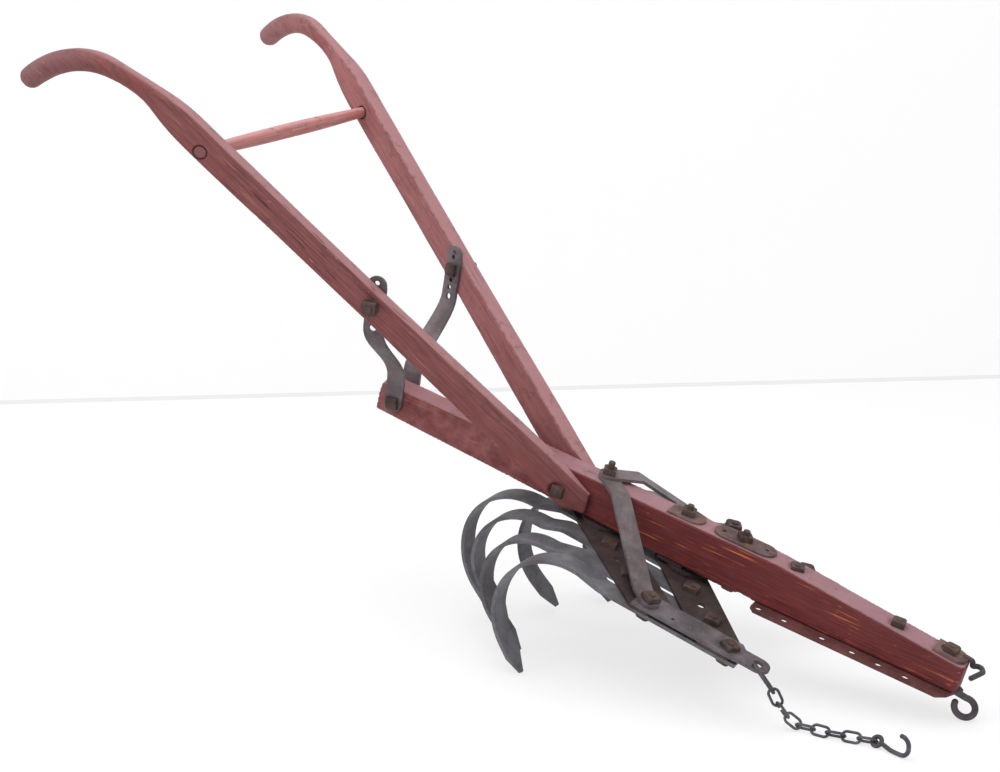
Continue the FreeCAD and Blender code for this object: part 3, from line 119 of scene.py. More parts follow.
# ------------------------------------------------------------------ shader helpers
class Shader:
    """A small builder of node trees for one material."""

    def __init__(self, name: str) -> None:
        """Starts an empty material.

        Args:
            name: Name of the material.
        """
        self.material = bpy.data.materials.new(name)
        self.material.use_nodes = True
        self.tree = self.material.node_tree
        self.tree.nodes.clear()
        self.out = self.tree.nodes.new("ShaderNodeOutputMaterial")
        self.bsdf = self.tree.nodes.new("ShaderNodeBsdfPrincipled")
        self.tree.links.new(self.bsdf.outputs["BSDF"], self.out.inputs["Surface"])
        self.coords = self.tree.nodes.new("ShaderNodeTexCoord").outputs["Object"]

    def node(self, kind: str, **values: Any) -> Any:
        """Makes one node.

        Args:
            kind: Type of the node.
            values: Attributes to set on it, by name.

        Returns:
            The node.
        """
        made = self.tree.nodes.new(kind)
        for key, value in values.items():
            setattr(made, key, value)
        return made

    def feed(self, socket: Any, value: Any) -> None:
        """Gives an input its value.

        Args:
            socket: The input.
            value: An output to link to it, or a plain value to set.
        """
        if isinstance(value, bpy.types.NodeSocket):
            self.tree.links.new(value, socket)
        else:
            socket.default_value = value

    def math(self, operation: str, a: Any, b: Any = 0.0, clamp: bool = False) -> Any:
        """Works out one sum.

        Args:
            operation: What the Math node does.
            a: First value.
            b: Second value.
            clamp: Whether the result is kept between 0 and 1.

        Returns:
            The result's socket.
        """
        made = self.node("ShaderNodeMath", operation=operation, use_clamp=clamp)
        self.feed(made.inputs[0], a)
        self.feed(made.inputs[1], b)
        return made.outputs[0]

    def times(self, a: Any, b: Any) -> Any:
        """The product of two values."""
        return self.math("MULTIPLY", a, b)

    def scaled(self, value: Any, factor: float, plus: float) -> Any:
        """The value times a factor, plus a constant.

        Args:
            value: The value.
            factor: What it is multiplied by.
            plus: What is added then.

        Returns:
            The result's socket.
        """
        made = self.node("ShaderNodeMath", operation="MULTIPLY_ADD")
        for socket, given in zip(made.inputs, (value, factor, plus)):
            self.feed(socket, given)
        return made.outputs[0]

    def vector(self, operation: str, a: Any, b: Vector | None = None, result: int = 0) -> Any:
        """Works out one sum with vectors.

        Args:
            operation: What the Vector Math node does.
            a: First vector.
            b: Second vector, where the operation takes one.
            result: 0 for a vector result and 1 for a number.

        Returns:
            The result's socket.
        """
        made = self.node("ShaderNodeVectorMath", operation=operation)
        self.feed(made.inputs[0], a)
        if b is not None:
            made.inputs[1].default_value = b
        return made.outputs[result]

    def along(self, axes: tuple[Vector, Vector, Vector], stretch: tuple[float, float, float],
              origin: Vector) -> Any:
        """Object coordinates measured along a piece's own axes.

        Args:
            axes: Unit vectors along, across and up the piece.
            stretch: Factor for each of them.
            origin: Place measured from.

        Returns:
            A vector socket.
        """
        centred = self.vector("SUBTRACT", self.coords, origin)
        joined = self.node("ShaderNodeCombineXYZ")
        for socket, axis, factor in zip(joined.inputs, axes, stretch):
            self.feed(socket, self.vector("DOT_PRODUCT", centred, axis * factor, result=1))
        return joined.outputs[0]

    def noise(self, vector: Any, scale: float, detail: float, rough: float,
              distortion: float = 0.0) -> Any:
        """The grey value of a noise.

        Args:
            vector: Coordinates it is read at.
            scale: Waves in one unit of them.
            detail: Finer layers added to the first.
            rough: How strong the finer layers are.
            distortion: How far it is warped.

        Returns:
            A value socket.
        """
        made = self.node("ShaderNodeTexNoise")
        self.feed(made.inputs["Vector"], vector)
        made.inputs["Scale"].default_value = scale
        made.inputs["Detail"].default_value = detail
        made.inputs["Roughness"].default_value = rough
        made.inputs["Distortion"].default_value = distortion
        return made.outputs["Fac"]

    def ramp(self, value: Any, low: float, high: float) -> Any:
        """Spreads a value smoothly over 0 to 1, clamped.

        Args:
            value: The value.
            low: What becomes 0.
            high: What becomes 1.

        Returns:
            A value socket.
        """
        made = self.node("ShaderNodeMapRange", interpolation_type="SMOOTHSTEP")
        self.feed(made.inputs["Value"], value)
        made.inputs["From Min"].default_value = low
        made.inputs["From Max"].default_value = high
        return made.outputs["Result"]

    def mark(self, value: Any, span: tuple[float, float], at: float = 0.0) -> Any:
        """Spreads a distance smoothly over a mark.

        Args:
            value: The distance.
            span: Where the mark starts and where it is full, measured from its place.
            at: Its place.

        Returns:
            A value socket.
        """
        return self.ramp(value, at + span[0], at + span[1])

    def blend(self, fac: Any, a: Any, b: Any) -> Any:
        """Mixes two colours.

        Args:
            fac: Share of the second.
            a: First colour.
            b: Second colour.

        Returns:
            A colour socket.
        """
        made = self.node("ShaderNodeMix", data_type="RGBA")
        self.feed(made.inputs[0], fac)
        for socket, value in ((made.inputs[6], a), (made.inputs[7], b)):
            if isinstance(value, tuple):
                value = (*value, 1.0)
            self.feed(socket, value)
        return made.outputs[2]

    def surface(self, colour: Any, rough: Any, specular: float, height: Any,
                depth: float) -> None:
        """Feeds the finished surface.

        Args:
            colour: Its colour.
            rough: Its roughness.
            specular: How much light it mirrors straight on.
            height: Grey value that raises it.
            depth: How deep that bump is, in metres.
        """
        self.feed(self.bsdf.inputs["Base Color"], colour)
        self.feed(self.bsdf.inputs["Roughness"], rough)
        self.bsdf.inputs["Specular IOR Level"].default_value = specular
        made = self.node("ShaderNodeBump")
        made.inputs["Strength"].default_value = BUMP_STRENGTH
        made.inputs["Distance"].default_value = depth
        self.feed(made.inputs["Height"], height)
        self.tree.links.new(made.outputs["Normal"], self.bsdf.inputs["Normal"])


def shade(red: int, green: int, blue: int) -> Colour:
    """A colour written in screen values, as the shader's linear numbers.

    Args:
        red: 0 to 255.
        green: 0 to 255.
        blue: 0 to 255.

    Returns:
        The three linear numbers.
    """
    def linear(v: int) -> float:
        """One channel by the usual sRGB curve."""
        u = v / 255.0
        return u / 12.92 if u <= 0.04045 else ((u + 0.055) / 1.055) ** 2.4
    return linear(red), linear(green), linear(blue)


PLUG_COLOUR = shade(118, 74, 74)
# Painted shade: the splits in the wood have no depth of their own, so this dark colour stands for
# the shade inside them.
CRACK_SHADE_COLOUR = shade(52, 26, 28)
RING_COLOUR = shade(62, 34, 36)
HOOK_DARK = shade(58, 52, 56)
HOOK_LIGHT = shade(86, 80, 86)
BLACK: Colour = (0.0, 0.0, 0.0)

# Where each mark starts and is full, in metres from its own place.
DUST_SPAN = (0.12, -0.06)
HAND_SPAN = (0.0, 0.16)
PLUG_SPAN = (0.0, 0.004)
CRACK_SPAN = (0.34, 0.10)
RING_SPAN = (0.0028, 0.0012)
EDGE_SPAN = (-0.0045, -0.0005)
HOOK_SPAN = (-0.004, 0.006)
DUST_SHARE = 0.8
HAND_SHARE = 0.8
EDGE_SHARE = 0.5
DIRT_SHARE = 0.6
GRIT_SHARE = 0.35


# ------------------------------------------------------------------ finishes
@dataclass(frozen=True)
class PaintedWood:
    """Old red paint rubbed thin over grained wood, its upward faces faded by light and dust.

    The places of marks are distances along the grain from the pattern's origin.
    """
    name: str
    along: Vector
    across: Vector
    up: Vector
    origin: Vector
    paint: Colour
    deep: Colour
    bare: Colour
    faded: Colour
    grime: Colour
    stain: Colour
    fade: float = 0.85
    bareness: float = 0.5
    streak: float = 0.5
    half_width: float = 0.0
    rough: float = 0.62
    handled_from: float = FAR_OFF
    handled: Colour = BLACK
    dusty_behind: float = -FAR_OFF
    dusty: Colour = BLACK
    ring_at: Vector = Vector((0.0, 0.0, -FAR_OFF))
    ring_radius: float = 0.0122
    plug_beyond: float = FAR_OFF
    cracked: float = 0.0

    def stretched(self, s: Shader, along: float, across: float, up: float = 0.0) -> Any:
        """Coordinates of the piece, scaled one way along the grain and another across it.

        Args:
            s: The node tree being built.
            along: Factor along the grain.
            across: Factor across it.
            up: Factor up the piece, where it isn't the one across.

        Returns:
            A vector socket.
        """
        return s.along((self.along, self.across, self.up), (along, across, up or across),
                       self.origin)

    def painted(self, s: Shader, place: Any, grain: Any, bands: Any) -> Any:
        """The paint itself: grain, bands, stains, and streaks of bare wood.

        Args:
            s: The node tree being built.
            place: Position along, across and up the piece.
            grain: Grey value of the fine grain.
            bands: Grey value of the broad grain.

        Returns:
            A colour socket.
        """
        colour = s.blend(s.ramp(grain, 0.26, 0.66), self.deep, self.paint)
        colour = s.blend(s.times(s.ramp(bands, 0.45, 0.7), 0.3), colour, self.deep)
        blotch = s.noise(self.stretched(s, 7.0, 24.0), scale=1.0, detail=5.0, rough=0.65,
                         distortion=0.5)
        colour = s.blend(s.times(s.ramp(blotch, 0.46, 0.62), 0.55), colour, self.stain)
        patches = s.noise(place, scale=9.0, detail=4.0, rough=0.6)
        streaks = s.noise(self.stretched(s, 9.0, 260.0), scale=1.0, detail=2.0, rough=0.5,
                          distortion=0.3)
        where = s.times(s.ramp(patches, 0.46, 0.66), s.ramp(streaks, 0.60, 0.70))
        return s.blend(s.times(where, self.streak), colour, self.bare)

    def ringed(self, s: Shader, colour: Any) -> Any:
        """The colour with a dark joint round the end of the rung.

        Args:
            s: The node tree being built.
            colour: The colour so far.

        Returns:
            A colour socket.
        """
        off = s.vector("SUBTRACT", s.coords, self.ring_at)
        level = s.vector("MULTIPLY", off, Vector((1.0, 0.0, 1.0)))
        reach = s.vector("LENGTH", level, result=1)
        from_ring = s.math("ABSOLUTE", s.math("SUBTRACT", reach, self.ring_radius))
        return s.blend(s.mark(from_ring, RING_SPAN), colour, RING_COLOUR)

    def places_worn(self, s: Shader, place: Any, colour: Any) -> Any:
        """The colour marked by hands, dust and joints, with painted shade in the wood's cracks.

        Args:
            s: The node tree being built.
            place: Position along, across and up the piece.
            colour: The colour so far.

        Returns:
            A colour socket.
        """
        parts = s.node("ShaderNodeSeparateXYZ")
        s.feed(parts.inputs[0], place)
        run = parts.outputs["X"]
        either_way = s.math("ABSOLUTE", run)
        uneven = s.noise(place, scale=30.0, detail=4.0, rough=0.6)
        if self.dusty_behind > -FAR_OFF:
            dust = s.mark(run, DUST_SPAN, self.dusty_behind)
            dust = s.times(dust, s.ramp(uneven, 0.25, 0.75))
            colour = s.blend(s.times(dust, DUST_SHARE), colour, self.dusty)
        if self.handled_from < FAR_OFF:
            held = s.mark(run, HAND_SPAN, self.handled_from)
            held = s.times(held, s.ramp(uneven, 0.2, 0.6))
            colour = s.blend(s.times(held, HAND_SHARE), colour, self.handled)
        if self.plug_beyond < FAR_OFF:
            plug = s.mark(either_way, PLUG_SPAN, self.plug_beyond)
            colour = s.blend(plug, colour, PLUG_COLOUR)
        # Painted shade in the cracks: the splits are drawn only as dark lines whose colour is the
        # shade they would hold.
        if self.cracked > 0.0:
            thin = s.noise(self.stretched(s, 11.0, 90.0, 230.0), scale=1.0, detail=2.0,
                           rough=0.5, distortion=0.4)
            cracks = s.times(s.ramp(thin, 0.64, 0.67), s.mark(either_way, CRACK_SPAN))
            colour = s.blend(s.times(cracks, self.cracked), colour, CRACK_SHADE_COLOUR)
        if self.ring_at.z > -FAR_OFF:
            colour = self.ringed(s, colour)
        return colour

    def edges_worn(self, s: Shader, place: Any, facing_up: Any, colour: Any) -> Any:
        """The colour with the paint rubbed off along the upper edges.

        Args:
            s: The node tree being built.
            place: Position along, across and up the piece.
            facing_up: How far the surface faces up the piece.
            colour: The colour so far.

        Returns:
            A colour socket.
        """
        side = s.node("ShaderNodeSeparateXYZ")
        s.feed(side.inputs[0], place)
        from_middle = s.math("ABSOLUTE", side.outputs["Y"])
        rub = s.mark(from_middle, EDGE_SPAN, self.half_width)
        uneven = s.noise(place, scale=60.0, detail=3.0, rough=0.6)
        worn = s.times(rub, s.ramp(uneven, 0.40, 0.62))
        worn = s.times(worn, s.ramp(facing_up, 0.15, 0.6))
        return s.blend(s.times(worn, EDGE_SHARE), colour, self.grime)

    def build(self) -> Any:
        """Builds the material.

        Returns:
            The material.
        """
        s = Shader(self.name)
        place = self.stretched(s, 1.0, 1.0)
        grain = s.noise(self.stretched(s, 14.0, 420.0), scale=1.0, detail=4.0, rough=0.6,
                        distortion=0.6)
        bands = s.noise(self.stretched(s, 3.0, 40.0), scale=1.0, detail=3.0, rough=0.6,
                        distortion=1.2)
        colour = self.painted(s, place, grain, bands)
        normal = s.node("ShaderNodeNewGeometry").outputs["Normal"]
        facing_up = s.vector("DOT_PRODUCT", normal, self.up, result=1)
        uneven = s.scaled(s.noise(place, scale=22.0, detail=4.0, rough=0.65), 0.5, 0.62)
        lit = s.times(s.ramp(facing_up, 0.55, 0.92), self.fade)
        colour = s.blend(s.math("MULTIPLY", lit, uneven, clamp=True), colour, self.faded)
        colour = self.places_worn(s, place, colour)
        dirt = s.noise(place, scale=38.0, detail=5.0, rough=0.7)
        colour = s.blend(s.times(s.ramp(dirt, 0.55, 0.72), DIRT_SHARE), colour, self.grime)
        spots = s.noise(self.stretched(s, 70.0, 150.0), scale=1.0, detail=2.0, rough=0.5)
        chips = s.times(s.ramp(spots, 0.735, 0.76), self.bareness)
        colour = s.blend(chips, colour, self.bare)
        if self.half_width > 0.0:
            colour = self.edges_worn(s, place, facing_up, colour)
        height = s.math("ADD", s.times(grain, 0.6), s.times(bands, 0.8))
        s.surface(colour, s.scaled(grain, 0.2, self.rough - 0.1), 0.28, height, WOOD_BUMP)
        return s.material


@dataclass(frozen=True)
class OldIron:
    """Dull hand-worked iron with soft rust, rubbed patches and pits."""
    name: str
    dark: Colour
    mid: Colour
    rust: Colour
    rub: Colour
    rustiness: float = 0.4
    rubbed: float = 0.25
    roughness: float = 0.62
    metal: float = 0.25
    pits: float = 0.0005
    hook_from: float = FAR_OFF

    def build(self) -> Any:
        """Builds the material.

        Returns:
            The material.
        """
        s = Shader(self.name)
        cloud = s.noise(s.coords, scale=16.0, detail=5.0, rough=0.62, distortion=0.3)
        fine = s.noise(s.coords, scale=120.0, detail=5.0, rough=0.7)
        grit = s.noise(s.coords, scale=520.0, detail=3.0, rough=0.6)
        blooms = s.noise(s.coords, scale=34.0, detail=6.0, rough=0.7, distortion=0.5)
        cloudy = s.ramp(cloud, 0.36, 0.66)
        colour = s.blend(cloudy, self.dark, self.mid)
        colour = s.blend(s.times(s.ramp(blooms, 0.47, 0.66), self.rustiness), colour, self.rust)
        colour = s.blend(s.times(s.ramp(fine, 0.56, 0.72), self.rubbed), colour, self.rub)
        colour = s.blend(s.times(s.ramp(grit, 0.60, 0.72), GRIT_SHARE), colour, self.dark)
        if self.hook_from < FAR_OFF:
            run = s.vector("DOT_PRODUCT", s.coords, FORWARD, result=1)
            on_hook = s.mark(run, HOOK_SPAN, self.hook_from)
            colour = s.blend(on_hook, colour, s.blend(cloudy, HOOK_DARK, HOOK_LIGHT))
        s.bsdf.inputs["Metallic"].default_value = self.metal
        height = s.math("ADD", s.times(cloud, 0.7), s.times(fine, 0.5))
        s.surface(colour, s.scaled(fine, 0.3, self.roughness - 0.15), 0.35, height, self.pits)
        return s.material


@dataclass
class Finishes:
    """Every finish of the machine, built once."""
    made: dict[str, Any] = field(default_factory=dict)

    def wood(self, name: str, along: Vector, origin: Vector, half: float,
             **changes: Any) -> Any:
        """A red painted wood whose grain runs along the given way.

        Args:
            name: Name of the material.
            along: Unit vector of the grain.
            origin: Place its pattern is measured from.
            half: Half the piece's width, for wear at its upper edges, or 0 for none.
            changes: Other fields of the finish.

        Returns:
            The material.
        """
        in_middle_plane = abs(along.y) < WELD
        across = LEFTWARD if in_middle_plane else UP.cross(along).normalized()
        looks: dict[str, Any] = dict(
            paint=shade(138, 78, 76), deep=shade(96, 46, 46), bare=shade(178, 116, 88),
            faded=shade(172, 130, 134), grime=shade(84, 60, 60), stain=shade(120, 60, 58))
        looks.update(changes)
        return self.get(PaintedWood(name, along, across, along.cross(across).normalized(),
                                    origin, half_width=half, **looks))

    def get(self, finish: PaintedWood | OldIron) -> Any:
        """The material of a finish, built when first asked for.

        Args:
            finish: The finish.

        Returns:
            The material.
        """
        if finish.name not in self.made:
            self.made[finish.name] = finish.build()
        return self.made[finish.name]


# The two plates at the beam's front end in bare iron hooks, which start where the beam stops.
HOOKS_FROM = PITCH.point(1216.0, 0.0, 0.0).dot(FORWARD)
STRAP = OldIron("dull_strap_iron", shade(84, 75, 77), shade(114, 104, 109), shade(112, 90, 82),
                shade(144, 137, 142), rustiness=0.4, rubbed=0.4)
BAR = OldIron("pale_side_bar_iron", shade(76, 70, 73), shade(110, 103, 108), shade(112, 92, 86),
              shade(150, 144, 150), rustiness=0.3, rubbed=0.4)
TINE = OldIron("dark_tine_iron", shade(84, 82, 86), shade(112, 111, 117), shade(102, 90, 88),
               shade(150, 150, 159), rustiness=0.22, rubbed=0.45)
# Painted shade: the frame plates and packing wear a darker copy of the strap iron, which stands for
# the shade they sit in.
PLATE_IN_PAINTED_SHADE = OldIron("frame_plate_iron_in_painted_shade", shade(52, 42, 42), shade(72, 61, 62), shade(80, 58, 52),
                shade(96, 86, 87), rustiness=0.45, rubbed=0.25)
NUT = OldIron("rusty_nut_iron", shade(56, 43, 41), shade(84, 67, 63), shade(106, 75, 61),
              shade(118, 100, 95), rustiness=0.6, rubbed=0.25, roughness=0.7, metal=0.12,
              pits=0.0008)
CHAIN = OldIron("dark_chain_iron", shade(68, 66, 72), shade(96, 94, 101), shade(92, 80, 78),
                shade(128, 126, 134), rustiness=0.3, rubbed=0.3, metal=0.35)
TOP_PLATE = OldIron("painted_rusty_plate", shade(78, 60, 60), shade(114, 88, 88),
                    shade(136, 102, 78), shade(146, 120, 118), rustiness=0.6, rubbed=0.4,
                    roughness=0.72, metal=0.1, pits=0.0008, hook_from=HOOKS_FROM)
RED_IRON = OldIron("red_painted_iron", shade(78, 44, 44), shade(104, 60, 60), shade(112, 74, 60),
                   shade(138, 100, 98), rustiness=0.5, rubbed=0.3, roughness=0.7, metal=0.08,
                   hook_from=HOOKS_FROM)


# ------------------------------------------------------------------ mesh helpers
def link(obj: Any) -> None:
    """Puts an object into the scene."""
    bpy.context.scene.collection.objects.link(obj)


def dress(obj: Any, material: Any) -> None:
    """Gives an object one material in all of its slots.

    Args:
        obj: The object.
        material: The material.
    """
    if not obj.material_slots:
        obj.data.materials.append(material)
    for slot in obj.material_slots:
        slot.material = material


def smooth(mesh: Any) -> None:
    """Shades every face of a mesh smoothly."""
    for polygon in mesh.polygons:
        polygon.use_smooth = True


def piece_from(bm: bmesh.types.BMesh, name: str, material: Any) -> Any:
    """An object made of a bmesh whose place is in its vertices.

    Args:
        bm: The mesh; it is freed.
        name: Name of the piece.
        material: Its material.

    Returns:
        The object.
    """
    bmesh.ops.recalc_face_normals(bm, faces=bm.faces)
    mesh = bpy.data.meshes.new(name)
    bm.to_mesh(mesh)
    bm.free()
    smooth(mesh)
    obj = bpy.data.objects.new(name, mesh)
    link(obj)
    dress(obj, material)
    return obj


def turn_to(obj: Any, way: Vector) -> None:
    """Turns an open sheet's faces over where they look away from the given way."""
    if sum(polygon.normal.dot(way) * polygon.area for polygon in obj.data.polygons) < 0.0:
        obj.data.flip_normals()


def plain_mesh(obj: Any, name: str) -> Any:
    """Turns an object and its modifiers into a plain mesh object.

    Args:
        obj: The object; it is removed.
        name: Name of the plain one.

    Returns:
        The plain object.
    """
    evaluated = obj.evaluated_get(bpy.context.evaluated_depsgraph_get())
    mesh = bpy.data.meshes.new_from_object(evaluated)
    materials = [slot.material for slot in evaluated.material_slots]
    made = bpy.data.objects.new(name, mesh)
    link(made)
    if not made.material_slots:
        for material in materials:
            mesh.materials.append(material)
    bpy.data.objects.remove(obj)
    return made


# ------------------------------------------------------------------ worn wood
@dataclass(frozen=True)
class Bite:
    """A place where a splinter is missing; given in millimetres of the beam's frame."""
    x: float
    y: float
    z: float
    reach: float
    depth: float

    def in_metres(self) -> tuple[Vector, float, float]:
        """Its place in the part's frame, its reach and its depth, in metres."""
        return PITCH.point(self.x, self.y, self.z), self.reach * MM, self.depth * MM


@dataclass
class WornWood:
    """A wooden piece whose flat faces have gone uneven and whose edges are bruised.

    The waves and knocks come from two smooth noises. The waves are drawn out along the grain, and
    a knock is a dent wherever the second noise rises over a level.
    """
    node: str
    cell: float = 0.0028
    swell: float = 0.00045
    dents: float = 0.0011
    seed: float = 0.0
    drawn_out: float = 0.86
    waves_per_metre: float = 46.0
    wave_start: tuple[float, float] = (3.1, 7.7)
    knocks_per_metre: float = 58.0
    knock_start: tuple[float, float] = (9.3, 1.9)
    knock_over: float = 0.42
    knock_gain: float = 1.8
    bite_mean: float = 0.75
    bite_swing: float = 0.5

    def outward(self, place: Vector, grain: Vector,
                holes: list[tuple[Vector, float, float]]) -> float:
        """How far the skin moves out at a place.

        Args:
            place: The place.
            grain: Unit vector of the grain.
            holes: Place, reach and depth of each missing splinter.

        Returns:
            The distance in metres; below 0 the skin moves in.
        """
        squeezed = place - grain * (place.dot(grain) * self.drawn_out)
        wave = noise.noise(squeezed * self.waves_per_metre
                           + Vector((self.seed, self.wave_start[0], self.wave_start[1])))
        knock = noise.noise(place * self.knocks_per_metre
                            + Vector((self.knock_start[0], self.seed, self.knock_start[1])))
        dent = max(0.0, knock - self.knock_over) * self.knock_gain
        out = wave * self.swell - dent * self.dents
        for centre, reach, depth in holes:
            near = (place - centre).length / reach
            if near < 1.0:
                out -= depth * (1 - near * near) * (self.bite_mean + self.bite_swing * wave)
        return out

    def build(self, source: Any, axis: Vector, material: Any,
              bites: tuple[Bite, ...] = ()) -> Any:
        """Makes the piece that stands for the CAD node.

        Args:
            source: The CAD node's object.
            axis: Unit vector of the grain.
            material: Its finish.
            bites: Places where a splinter is missing.

        Returns:
            The finished object.
        """
        bm = bmesh.new()
        bm.from_mesh(source.data)
        bmesh.ops.remove_doubles(bm, verts=bm.verts, dist=WELD)
        obj = piece_from(bm, "worn_" + self.node, material)
        remesh = obj.modifiers.new("cells", "REMESH")
        remesh.mode = "VOXEL"
        remesh.voxel_size = self.cell
        remesh.adaptivity = 0.0
        remesh.use_smooth_shade = True
        obj = plain_mesh(obj, "worn_" + self.node)
        mesh = obj.data
        grain = axis.normalized()
        holes = [bite.in_metres() for bite in bites]
        for vertex, normal in zip(mesh.vertices, [v.normal.copy() for v in mesh.vertices]):
            vertex.co += normal * self.outward(vertex.co.copy(), grain, holes)
        dress(obj, material)
        smooth(mesh)
        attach(obj, "machine")
        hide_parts(self.node)
        return obj


@dataclass(frozen=True)
class HandleLooks:
    """What differs between the handles: painted light and shade on their paint, and painted crack
    shade.
    """
    paint: Colour
    deep: Colour
    cracked: float


@dataclass
class Timber:
    """The beam, the two handles and the rung."""
    beam_half: float = 0.028
    handle_half: float = 0.018
    rake: float = math.radians(30.2)
    splay: float = math.radians(17.6)
    dusty_behind: float = -0.24
    handled_from: float = 0.52
    plug_beyond: float = 0.268
    bites: tuple[Bite, ...] = (
        Bite(801.0, -27.0, -87.0, 9.0, 3.2), Bite(812.0, -27.5, -87.0, 7.0, 2.6),
        Bite(820.0, -27.0, -86.5, 6.0, 2.2), Bite(2.0, -26.0, -2.0, 10.0, 2.4),
        Bite(3.0, 26.0, -56.0, 9.0, 2.0))
    # Painted light and shade: both handles wear one paint, written darker on the near right handle
    # and lighter on the far left one for how the light falls on them; the last number is how much
    # painted crack shade shows.
    right_looks_shaded: HandleLooks = HandleLooks(shade(129, 76, 76), shade(94, 50, 50), 0.8)
    left_looks_lit: HandleLooks = HandleLooks(shade(156, 100, 101), shade(126, 74, 75), 0.25)

    def handle_way(self, side: Side) -> Vector:
        """The way the grain runs up a handle."""
        return PITCH.way(-1.0, side.value * math.tan(self.splay), math.tan(self.rake))

    def beam(self, node: Any, finishes: Finishes) -> None:
        """Makes the worn beam.

        Args:
            node: The CAD node.
            finishes: The finishes.
        """
        material = finishes.wood(
            "red_beam_wood", FORWARD, BEAM_MIDDLE, self.beam_half, streak=1.0, fade=0.84,
            paint=shade(117, 49, 50), deep=shade(74, 26, 27), stain=shade(98, 42, 42),
            bare=shade(190, 104, 62), faded=shade(157, 121, 128),
            dusty_behind=self.dusty_behind, dusty=shade(146, 92, 92))
        beam = WornWood("beam", seed=2.0).build(node, FORWARD, material, self.bites)

    def handle(self, side: Side, node: Any, finishes: Finishes) -> None:
        """Makes one worn handle.

        Args:
            side: Which one.
            node: The CAD node.
            finishes: The finishes.
        """
        way = self.handle_way(side)
        name = "handle_" + side.name.lower()
        low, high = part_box(name)
        centre = (Vector(low) + Vector(high)) / 2
        looks = self.right_looks_shaded if side is Side.RIGHT else self.left_looks_lit
        material = finishes.wood(
            "red_" + name, way, centre, self.handle_half, streak=0.45,
            paint=looks.paint, deep=looks.deep, bare=shade(172, 116, 92),
            faded=shade(160, 118, 121), handled_from=self.handled_from,
            handled=shade(124, 98, 102), ring_at=RUNG_MIDDLE, cracked=looks.cracked)
        handle = WornWood(name, seed=5.0 + side.value).build(node, way, material)

    def rung(self, node: Any, finishes: Finishes) -> None:
        """Makes the worn rung between the handles.

        Args:
            node: The CAD node.
            finishes: The finishes.
        """
        material = finishes.wood(
            "red_rung_wood", LEFTWARD, RUNG_MIDDLE, 0.0, streak=0.8,
            paint=shade(176, 118, 116), deep=shade(146, 92, 90), stain=shade(160, 92, 86),
            bare=shade(204, 156, 128), faded=shade(190, 142, 142),
            plug_beyond=self.plug_beyond)
        rung = WornWood("handle_rung", cell=0.0016, swell=0.0007, seed=9.0).build(
            node, LEFTWARD, material)

    def build(self, nodes: dict[str, Any], finishes: Finishes) -> None:
        """Makes the wooden pieces.

        Args:
            nodes: The CAD nodes.
            finishes: The finishes.
        """
        self.beam(nodes["beam"], finishes)
        for side in Side:
            self.handle(side, nodes["handle_" + side.name.lower()], finishes)
        self.rung(nodes["handle_rung"], finishes)
        LOG.info("timber: beam, two handles and rung")


# ------------------------------------------------------------------ ironwork
@dataclass
class Ironwork:
    """Which finish each iron node wears; its shape is the CAD node's own."""
    straps: tuple[str, ...] = ("handle_brace_right", "handle_brace_left", "frame_brace_right",
                               "frame_brace_left")
    # These nodes wear the darker plate iron, which paints in the shade they sit in.
    plates: tuple[str, ...] = ("front_plate_right", "front_plate_left", "rear_plate_right",
                               "rear_plate_left", "frame_packing")
    bars: tuple[str, ...] = ("side_bar_right", "side_bar_left")
    red: tuple[str, ...] = ("draft_plate",)
    tops: tuple[str, ...] = ("nose_plate", "beam_top_plates")

    def finish_of(self, name: str) -> OldIron:
        """Chooses the finish of a node.

        Args:
            name: Name of the node.

        Returns:
            The finish.
        """
        for names, finish in ((self.straps, STRAP), (self.plates, PLATE_IN_PAINTED_SHADE), (self.bars, BAR),
                              (self.red, RED_IRON), (self.tops, TOP_PLATE)):
            if name in names:
                return finish
        if "bolt" in name:
            return NUT
        for start, finish in (("tine_", TINE), ("chain_", CHAIN)):
            if name.startswith(start):
                return finish
        return STRAP

    def build(self, nodes: dict[str, Any], finishes: Finishes) -> None:
        """Dresses every node; the wooden ones are replaced by worn pieces later.

        Args:
            nodes: The CAD nodes.
            finishes: The finishes.
        """
        for name, obj in nodes.items():
            dress(obj, finishes.get(self.finish_of(name)))
        LOG.info("ironwork: %d nodes dressed", len(nodes))


